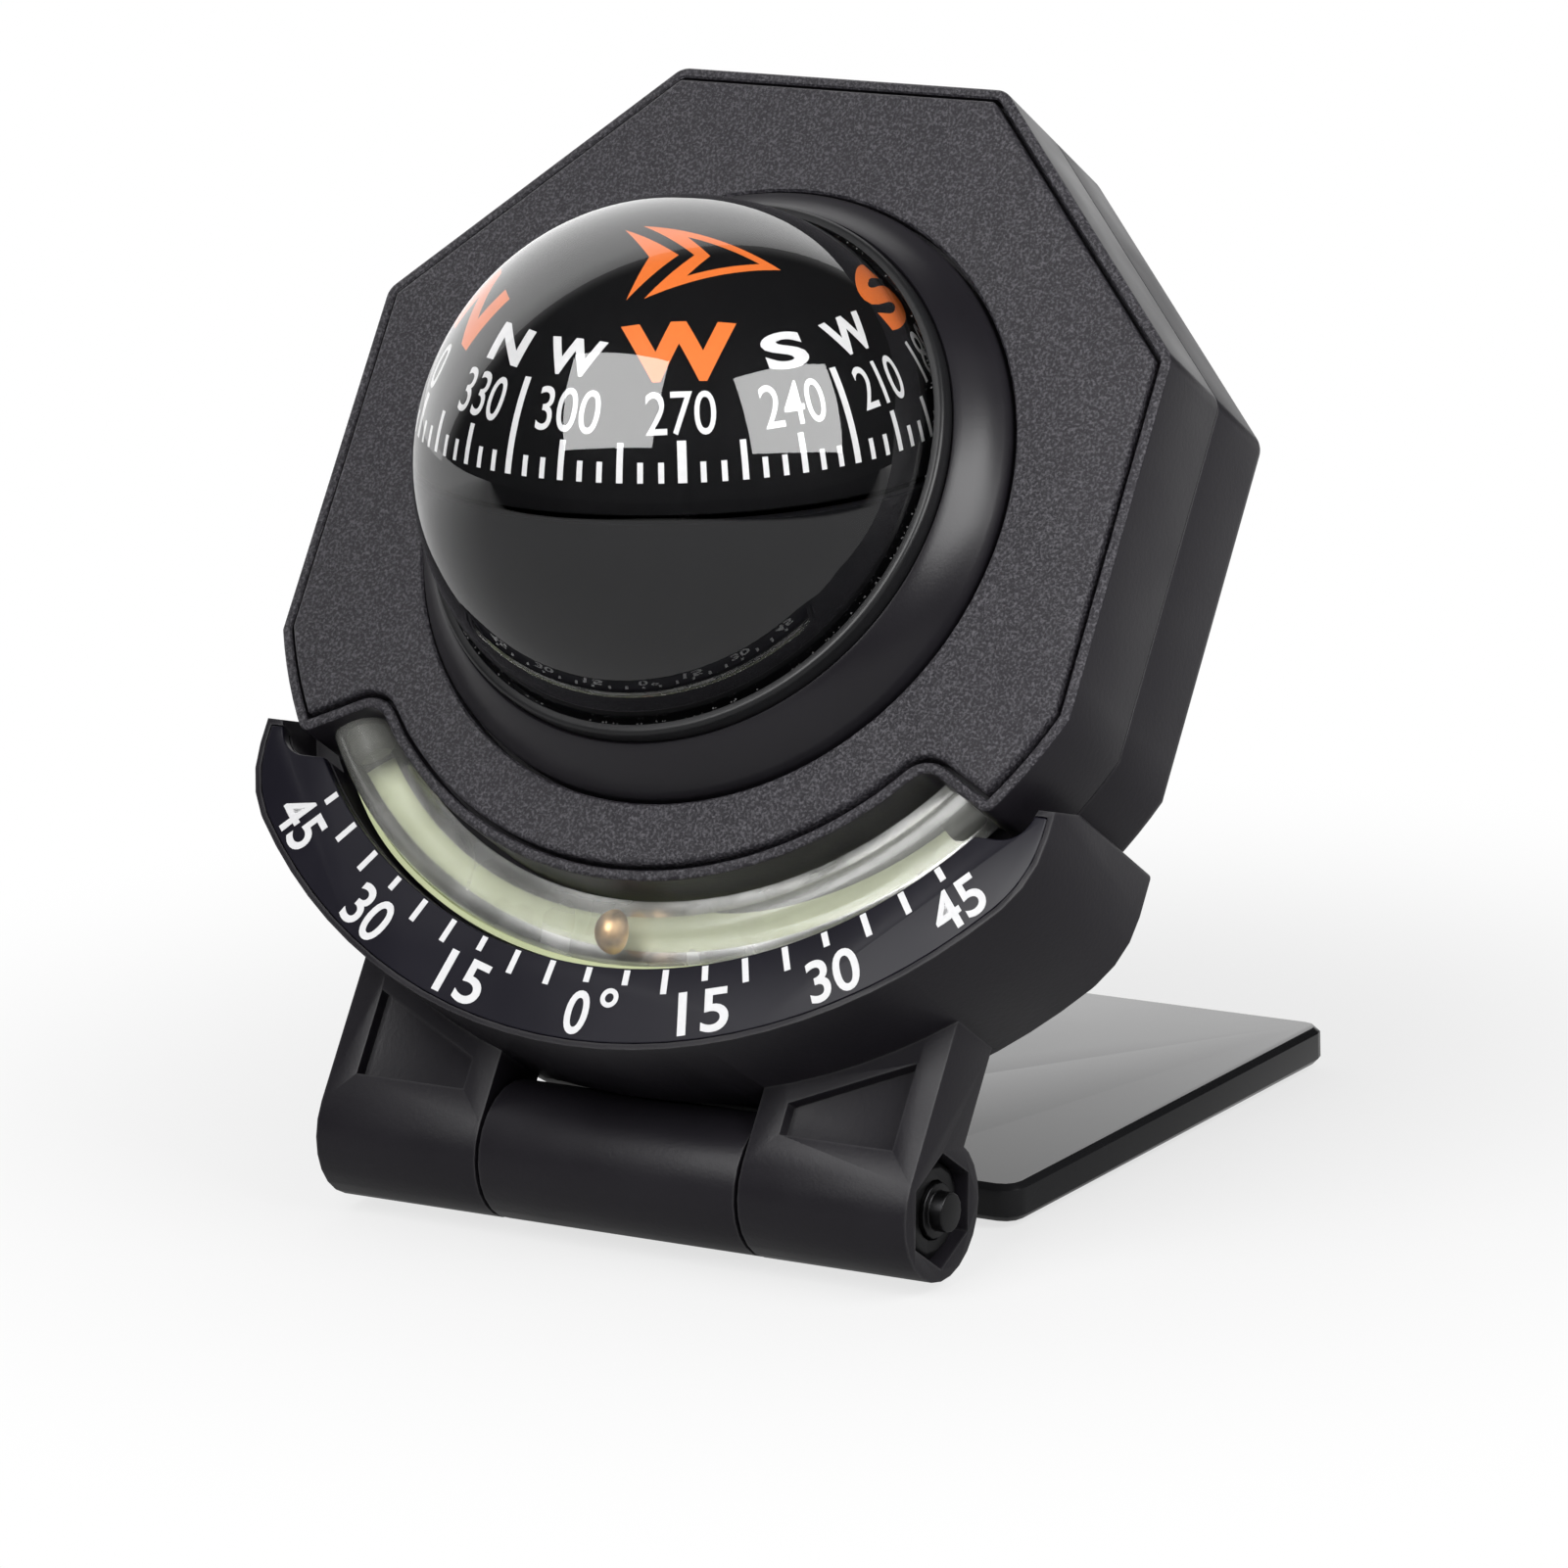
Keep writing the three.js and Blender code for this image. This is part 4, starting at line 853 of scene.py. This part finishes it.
# Compass card. The upper half of the float, a glossy black moulding, hangs level in the liquid and
# turns on its jewel until its north mark points north.
card_turn = math.radians(-58.4)
card_radius = 15.3 * MM
card_inner = 14.1 * MM
card_rim = 0.3 * MM
card_edge_rise = 0.1 * MM
rim_step = 0.12 * MM
card_colour = (0.006, 0.006, 0.0066, 1)
west_side = np.array([math.cos(card_turn), math.sin(card_turn), 0])
south_side = np.array([-math.sin(card_turn), math.cos(card_turn), 0])
float_up = np.array([0.0, 0.0, 1.0])


def on_float(points):
    """Float points (towards west, towards south, up) in the frame."""
    points = np.asarray(points, float)
    return (float_centre + points[..., :1] * west_side + points[..., 1:2] * south_side
            + points[..., 2:3] * float_up)


card_start = math.asin((card_rim + card_edge_rise) / card_radius)
card_profile = arc_profile(card_radius, 0, card_start, math.pi / 2, 36)
card_profile += arc_profile(card_inner, 0, math.pi / 2, math.asin(card_rim / card_inner), 24)
card_profile += [(card_radius - rim_step, card_rim)]
card_gloss = moulded("card_plastic", card_colour, 0.4, grain=0.8 * MM, relief=0.001 * MM,
                     specular=0.03)
card = turned_piece("card_dome", card_profile, steps=144, place=on_float, joined=True)
dress(card, card_gloss, "card", "gloss_black", "compass_card")

# Card print. White degree marks, numbers and half-quarter letters, and orange quarter letters and
# arrow, pad-printed on the card. The ink stands a few hundredths of a millimetre proud.
ink_rise = 0.03 * MM
ink_depth = 0.05 * MM
ink_mottle = 0.4 * MM
ink_relief = 0.004 * MM
ink_roughness = 0.5
ink_specular = 0.3
cell_size = 0.5 * MM
curve_steps = 6
mark_foot = 8.8
# Top latitude and width of the marks at multiples of so many degrees
marks = {90: (18.6, 0.57 * MM), 45: (31.5, 0.47 * MM), 15: (18.1, 0.40 * MM), 5: (13.6, 0.36 * MM)}
number_latitude = 25.1
number_size = (4.4 * MM, 2.8 * MM)
number_bold = 0.003
digit_gap = 0.06
quarter_latitude = 40.4
quarter_height = 4.15 * MM
quarter_widths = {"N": 5.9 * MM, "E": 5.1 * MM, "S": 5.3 * MM, "W": 7.3 * MM}
quarter_bold = 0.045
small_latitude = 37.9
small_spread = 12.7
small_height = 2.5 * MM
small_widths = {"N": 3.2 * MM, "E": 2.8 * MM, "S": 3.0 * MM, "W": 4.0 * MM}
small_bold = 0.035
white_ink_colour = (0.86, 0.86, 0.87, 1)
orange_ink_colour = (0.90, 0.20, 0.035, 1)
arrow_place = (259.2, 68.9)
arrow_tilt = math.radians(-10.7)
arrow_outer = [(5.52, 0), (-3.16, 3.83), (0, 0), (-3.16, -3.83)]
arrow_inner = [(4.08, 0), (-0.46, 2.0), (0.94, 0), (-0.46, -2.0)]
chevron = [(-0.97, 0), (-4.36, 3.75), (-2.76, 0), (-4.36, -3.75)]


def in_cells(shape, low, high):
    """Cuts a flat shape into cells small enough to follow a curve. Gives points and triangles."""
    for axis in (0, 1):
        normal = [float(axis == 0), float(axis == 1), 0.0]
        for step in np.arange(low[axis] + cell_size, high[axis], cell_size):
            bmesh.ops.bisect_plane(shape, geom=shape.verts[:] + shape.edges[:] + shape.faces[:],
                                   plane_co=[step * share for share in normal], plane_no=normal)
    bmesh.ops.triangulate(shape, faces=shape.faces)
    points, triangles = arrays_of(shape)
    return points[:, :2], triangles


def lettering(text, width, height, bold):
    """Flat shape of a word from the built-in typeface, stretched to a width and a height about its
    middle and cut into cells."""
    curve = bpy.data.curves.new("word", "FONT")
    curve.body = text
    curve.offset = bold
    curve.resolution_u = curve_steps
    word = in_scene("word", curve)
    graph = bpy.context.evaluated_depsgraph_get()
    mesh = bpy.data.meshes.new_from_object(word.evaluated_get(graph))
    bpy.data.objects.remove(word)
    points = numbers_of(mesh.vertices, "co")
    low, high = points.min(0), points.max(0)
    points -= (low + high) / 2
    points *= np.array([width / (high[0] - low[0]), height / (high[1] - low[1]), 0])
    mesh.vertices.foreach_set("co", points.ravel())
    shape = bmesh.new()
    shape.from_mesh(mesh)
    return in_cells(shape, (-width / 2, -height / 2), (width / 2, height / 2))


def filled(outlines):
    """Flat shape between closed outlines, the first outside and the others holes, cut into cells
    whose triangles all turn the same way."""
    shape = bmesh.new()
    edges = []
    for outline in outlines:
        verts = [shape.verts.new((x, y, 0)) for x, y in outline]
        edges += [shape.edges.new((a, b)) for a, b in zip(verts, verts[1:] + verts[:1])]
    bmesh.ops.triangle_fill(shape, edges=edges, use_beauty=True)
    drawn = np.concatenate(outlines)
    points, faces = in_cells(shape, drawn.min(0), drawn.max(0))
    first, second, third = points[faces].transpose(1, 0, 2)
    area = np.cross(second - first, third - first)
    faces[area < 0] = faces[area < 0][:, ::-1]
    return points, faces


def on_card(flat, heading, latitude, tilt=0.0):
    """Wraps flat (x, y) shapes on the card: the plane that touches the card at a heading and a
    latitude is drawn in along the card's radii."""
    turn, rise = math.radians(270 - heading), math.radians(latitude)
    out = np.array([math.cos(rise) * math.cos(turn), math.cos(rise) * math.sin(turn),
                    math.sin(rise)])
    east = np.array([-math.sin(turn), math.cos(turn), 0])
    north = np.cross(out, east)
    x = flat[:, :1] * math.cos(tilt) - flat[:, 1:] * math.sin(tilt)
    y = flat[:, :1] * math.sin(tilt) + flat[:, 1:] * math.cos(tilt)
    rays = card_radius * out + x * east + y * north
    return on_float(rays / np.linalg.norm(rays, axis=1, keepdims=True) * (card_radius + ink_rise))


def mark(heading, top, width, steps=8):
    """A degree mark: a strip of even width up a meridian of the card, as points and triangles."""
    rise = np.radians(np.linspace(mark_foot, top, steps + 1))[:, None]
    half = np.array([-0.5, 0.5]) * width / (card_radius * np.cos(rise))
    turn = math.radians(270 - heading) + half
    unit = np.stack([np.cos(rise) * np.cos(turn), np.cos(rise) * np.sin(turn),
                     np.broadcast_to(np.sin(rise), turn.shape)], -1)
    first = 2 * np.arange(steps)
    faces = np.concatenate([np.stack([first, first + 1, first + 3], 1),
                            np.stack([first, first + 3, first + 2], 1)])
    return on_float(unit.reshape(-1, 3) * (card_radius + ink_rise)), faces


def ink_piece(name, shapes, material, body):
    """Joins printed shapes into one piece, whose thickness goes down into what carries it."""
    points = [shape_points for shape_points, _ in shapes]
    starts = np.cumsum([0] + [len(shape_points) for shape_points in points])
    faces = [shape_faces + start for (_, shape_faces), start in zip(shapes, starts)]
    piece = piece_of(name, np.concatenate(points), np.concatenate(faces).tolist())
    thick = piece.modifiers.new("ink", "SOLIDIFY")
    thick.thickness = ink_depth
    thick.offset = -1
    smooth_by_angle(piece)
    piece.data.materials.append(material)
    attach(piece, body)


def ink(name, colour):
    """Printing ink: a little uneven in tone and sheen."""
    material, tree, place = material_of(name)
    cover = noise(tree, place, ink_mottle, ("Detail", 4.0))
    tone = blended(tree, cover, toned(colour, 0.86), colour)
    return surfaced(material, opaque(tree, tone, ink_roughness, bumped(tree, cover, ink_relief),
                                     ("Specular IOR Level", ink_specular)))


white_ink = ink("white_ink", white_ink_colour)
orange_ink = ink("orange_ink", orange_ink_colour)
white_shapes = []
for heading in range(0, 360, 5):
    kind = next(step for step in marks if heading % step == 0)
    white_shapes.append(mark(heading, *marks[kind]))
for heading in range(0, 360, 30):
    text = str(heading)
    width = number_size[0] * (len(text) + digit_gap) / (3 + digit_gap)
    flat, faces = lettering(text, width, number_size[1], number_bold)
    white_shapes.append((on_card(flat, heading, number_latitude), faces))
for heading, letters in ((315, "NW"), (225, "SW"), (135, "SE"), (45, "NE")):
    for side, letter in zip((1, -1), letters):
        flat, faces = lettering(letter, small_widths[letter], small_height, small_bold)
        place = (heading + side * small_spread, small_latitude)
        white_shapes.append((on_card(flat, *place), faces))
orange_shapes = []
for heading, letter in ((0, "N"), (90, "E"), (180, "S"), (270, "W")):
    flat, faces = lettering(letter, quarter_widths[letter], quarter_height, quarter_bold)
    orange_shapes.append((on_card(flat, heading, quarter_latitude), faces))
for outlines in ([arrow_outer, arrow_inner], [chevron]):
    flat, faces = filled([np.array(outline) * MM for outline in outlines])
    orange_shapes.append((on_card(flat, *arrow_place, arrow_tilt), faces))
ink_piece("card_print_white", white_shapes, white_ink, "card")
ink_piece("card_print_orange", orange_shapes, orange_ink, "card")

# Ballast bowl. The lower half of the float, satin dark grey, with its lead-free weight, the pivot
# pin, the magnets under the card and the jewel that runs on the pin.
bowl_radius = 16.2 * MM
bowl_inner = 15.0 * MM
bowl_edge_drop = 0.1 * MM
bowl_colour = (0.0065, 0.0065, 0.0075, 1)
brass_colour = (0.90, 0.58, 0.30, 1)
magnet_colour = (0.42, 0.42, 0.44, 1)
jewel_colour = (0.30, 0.012, 0.03, 1)
bowl_profile = arc_profile(bowl_radius, 0, -math.pi / 2, -bowl_edge_drop / bowl_radius, 32)
bowl_profile += [(bowl_radius - rim_step, 0)]
bowl_profile += arc_profile(bowl_inner, 0, 0, -math.pi / 2, 20)
bowl_satin = moulded("bowl_plastic", bowl_colour, 0.5, grain=0.8 * MM, relief=0.001 * MM,
                     specular=0.03)
bowl = turned_piece("ballast_half", bowl_profile, steps=128, place=on_float, joined=True)
dress(bowl, bowl_satin, "float", "satin_ring", "ballast_bowl")
brass_metal = metal("brass_metal", brass_colour, 0.36)
magnet_steel = metal("magnet_steel", magnet_colour, 0.35)
jewel_red = moulded("ruby_jewel", jewel_colour, 0.12, grain=0.3 * MM, relief=0.001 * MM)
finish_packed(brass_metal, "ballast_weight")
finish_packed(magnet_steel, "pivot_pin", "card_magnet_1", "card_magnet_2")
finish_packed(jewel_red, "pivot_jewel")

# Level. A clear curved tube lies in the case's notch over a pale luminous film, plugged at both
# ends; a brass ball rolls in it.
tube_arc_radius = 30.2 * MM
tube_radius = 2.2 * MM
tube_bore = 1.5 * MM
level_plane = 11.5 * MM
tube_end_degrees = 53.4
tube_smooth_degrees = 60
tube_steps = 90
plug_degrees = (47.9, 53.2)
plug_radius = 1.2 * MM
plug_taper = np.array([0.7, 0.93, 1, 1, 1, 1, 1, 0.93, 0.7])
plug_colour = (0.05, 0.05, 0.045, 1)
ball_radius = 1.2 * MM
tube_index = 1.2


def swept(name, sections, degrees, **options):
    """Sections of (radius, plane) points carried round the face's centre, one at each angle."""
    rings = [np.column_stack([section[:, :1] * polar(1.0, angle), section[:, 1]])
             for angle, section in zip(degrees, sections)]
    return ring_piece(name, on_face(np.array(rings)), **options)


turn = np.linspace(0, 2 * math.pi, 40, endpoint=False)
circle = np.stack([np.cos(turn), np.sin(turn)], 1)
tube_middle = np.array([tube_arc_radius, level_plane])
tube_angles = np.linspace(-tube_end_degrees, tube_end_degrees, tube_steps + 1)
tube_sections = [tube_middle + radius * circle for radius in (tube_radius, tube_bore)
                 for angle in tube_angles]
tube_clear = clear_plastic("clear_tube", 0.15, tube_index, blur=0.07, milk_share=0.15)
tube = swept("curved_tube", tube_sections, [*tube_angles, *tube_angles[::-1]], joined=True,
             smooth_degrees=tube_smooth_degrees)
dress(tube, tube_clear, "head", "clear_plastic", "level_tube")
tube_at = (face_middles(tube) - face_centre) @ np.stack([x_axis, up_the_face, out_of_face], 1)
tube_wall = np.hypot(np.hypot(tube_at[:, 0], tube_at[:, 1]) - tube_arc_radius,
                     tube_at[:, 2] - level_plane)
second_finish(tube, wet_wall, tube_wall < (tube_bore + tube_radius) / 2)

plug_grey = moulded("tube_plug", plug_colour, 0.6, grain=0.3 * MM, relief=0.01 * MM)
for side, node in ((-1, "tube_plug_left"), (1, "tube_plug_right")):
    plug_sections = [tube_middle + size * circle for size in plug_taper * plug_radius]
    plug = swept(node + "_pressed", plug_sections,
                 side * np.linspace(*plug_degrees, len(plug_taper)), capped=True)
    dress(plug, plug_grey, "head", "seal_rubber", node)

ball_profile = arc_profile(ball_radius, level_plane, -math.pi / 2, math.pi / 2, 24)
ball = turned_piece("brass_ball", ball_profile, up=-tube_arc_radius, steps=48)
dress(ball, brass_metal, "ball", "brass_metal", "level_ball")

# Luminous film. A pale yellow-green strip is bent into the notch behind the tube and turned up
# along its outer side; its left end has sprung away from the wall.
film_low = 8.5 * MM
film_thickness = 0.35 * MM
film_inner = 28.5 * MM
film_outer = 32.85 * MM
film_rise = 3.1 * MM
film_end_degrees = 49.2
film_bend = 0.9 * MM
film_spring = 0.5 * MM
sprung_from = 33
sprung_over = 14
film_steps = 80
film_colour = (0.56, 0.61, 0.36, 1)
film_line = [(film_inner, film_low)]
film_line += arc_profile(film_bend, film_low + film_bend, -math.pi / 2, 0, 6,
                         film_outer - film_bend)
film_line += [(film_outer, film_low + film_rise)]
film_line = np.array(film_line)
tangent = np.gradient(film_line, axis=0)
tangent = tangent / np.linalg.norm(tangent, axis=1, keepdims=True)
film_back = film_line + film_thickness * np.stack([-tangent[:, 1], tangent[:, 0]], 1)
film_section = np.concatenate([film_line, film_back[::-1]])
film_height = np.clip((film_section[:, 1] - film_low) / film_rise, 0, 1)
film_angles = np.linspace(-film_end_degrees, film_end_degrees, film_steps + 1)
film_sprung = film_spring * np.clip((-film_angles - sprung_from) / sprung_over, 0, 1) ** 2
film_sections = [film_section - np.outer(film_height, (sprung, 0)) for sprung in film_sprung]
lume = moulded("luminous_film", film_colour, 0.6, grain=0.3 * MM, relief=0.006 * MM, specular=0.3)
film = swept("luminous_film", film_sections, film_angles, capped=True)
dress(film, lume, "head", "lume", "lume_strip")

# Scale plate. A glossy black plate lies in the cradle's front, printed in white with a mark every
# five degrees and a number every fifteen.
scale_plane = 13.2 * MM
scale_thickness = 0.8 * MM
scale_edge = 0.1 * MM
scale_inner_radius = 33.2 * MM
scale_outer_radius = 38.9 * MM
cradle_half = 31.0 * MM
scale_inset = 0.46 * MM
hip_radius = 8.0 * MM
hip_share = 0.4
ear_front_top = 18.8 * MM
ear_top = 17.6 * MM
ear_tip_inner = 30.25 * MM
ear_shelf_end = 28.9 * MM
ear_shelf = 21.1 * MM
ear_shelf_radius = 2.2 * MM
ear_round = 0.35 * MM
scale_colour = (0.0075, 0.0067, 0.0125, 1)
mark_near = 33.35 * MM
scale_mark_width = 0.45 * MM
short_mark_far = 34.4 * MM
long_mark_far = 35.05 * MM
label_radius = 36.55 * MM
label_height = 3.1 * MM
label_widths = {1: 1.75 * MM, 2: 3.75 * MM}
label_bold = 0.014
degree_place = (2.15, -35.27)
degree_radii = (0.68, 0.33)


def scale_outline(inset):
    """Outline of the scale plate, drawn inwards: the outer arc, the round hips, the ears' straight
    sides and tips, and an inner edge with a shelf under each ear."""
    outer = scale_outer_radius - inset
    side = cradle_half - inset
    top = ear_front_top + inset
    hip = np.array([side, -math.sqrt(outer ** 2 - side ** 2)])
    end = degrees_from_down(hip) - math.degrees(hip_share * hip_radius / outer)
    outer_arc = polar(outer, np.linspace(-end, end, 61))
    tip = np.array([ear_tip_inner, -ear_top])
    corner = np.array([ear_shelf_end, -ear_shelf])
    start = tip + (corner - tip) * (top - ear_top) / (ear_shelf - ear_top)
    shelf = np.array([math.sqrt(scale_inner_radius ** 2 - ear_shelf ** 2), -ear_shelf])
    ear = np.array([side, -top])
    right_side = np.concatenate([rounded(outer_arc[-1], hip, ear, hip_radius, 10),
                                 rounded(hip, ear, start, ear_round / (1 + inset / ear_round), 4)])
    inner = np.concatenate([start[None], rounded(start, corner, shelf, ear_shelf_radius, 10)])
    inner_end = degrees_from_down(shelf)
    inner_arc = polar(scale_inner_radius, np.linspace(inner_end, -inner_end, 57))
    mirror = np.array([-1, 1])
    return np.concatenate([outer_arc, right_side, inner, inner_arc, inner[::-1] * mirror,
                           right_side[::-1] * mirror])


def shrunk(outline, distance):
    """A closed outline moved inwards: each point goes along the mean of its two sides' normals."""
    keep = np.linalg.norm(outline - np.roll(outline, 1, 0), axis=1) > 1e-7
    outline = outline[keep]
    sides = (outline - np.roll(outline, 1, 0), np.roll(outline, -1, 0) - outline)
    normals = [np.stack([-side[:, 1], side[:, 0]], 1) / np.linalg.norm(side, axis=1, keepdims=True)
               for side in sides]
    mean = normals[0] + normals[1]
    mean = mean / np.linalg.norm(mean, axis=1, keepdims=True)
    reach = distance / np.clip((mean * normals[0]).sum(1, keepdims=True), 0.5, 1)
    return outline + reach * mean


def on_scale(flat, angle=0.0):
    """Flat shapes drawn about a point straight below the face's centre, swung to an angle."""
    swing = math.radians(angle)
    turned = np.array([[math.cos(swing), math.sin(swing)], [-math.sin(swing), math.cos(swing)]])
    return on_face(at_plane(flat @ turned, scale_plane + ink_rise))


scale_shape = scale_outline(scale_inset)
scale_profile = [(0, scale_plane - scale_thickness)]
scale_profile += quarter(scale_edge, scale_plane - scale_edge, scale_edge, 0)
scale = ring_piece("scale_face", rows_of(lambda inset: shrunk(scale_shape, inset), scale_profile),
                   capped=True)
scale_black = moulded("scale_black", scale_colour, 0.34, grain=0.4 * MM, relief=0.003 * MM,
                      specular=0.31)
dress(scale, scale_black, "head", "gloss_black", "scale_plate")

scale_shapes = []
for angle in range(-45, 50, 5):
    far = short_mark_far if angle % 15 == 0 or angle == 5 else long_mark_far
    half = scale_mark_width / 2
    strip = np.array([(-half, -mark_near), (-half, -far), (half, -far), (half, -mark_near)])
    scale_shapes.append((on_scale(strip, angle), np.array([(0, 1, 2), (0, 2, 3)])))
for angle in range(-45, 50, 15):
    text = str(abs(angle))
    flat, faces = lettering(text, label_widths[len(text)], label_height, label_bold)
    scale_shapes.append((on_scale(flat - np.array([0, label_radius]), angle), faces))
loop = np.linspace(0, 2 * math.pi, 25)[:-1]
degree_ring = [np.stack([degree_place[0] + radius * np.cos(loop),
                         degree_place[1] + radius * np.sin(loop)], 1) * MM
               for radius in degree_radii]
flat, faces = filled(degree_ring)
scale_shapes.append((on_scale(flat), faces))
ink_piece("scale_print", scale_shapes, white_ink, "head")
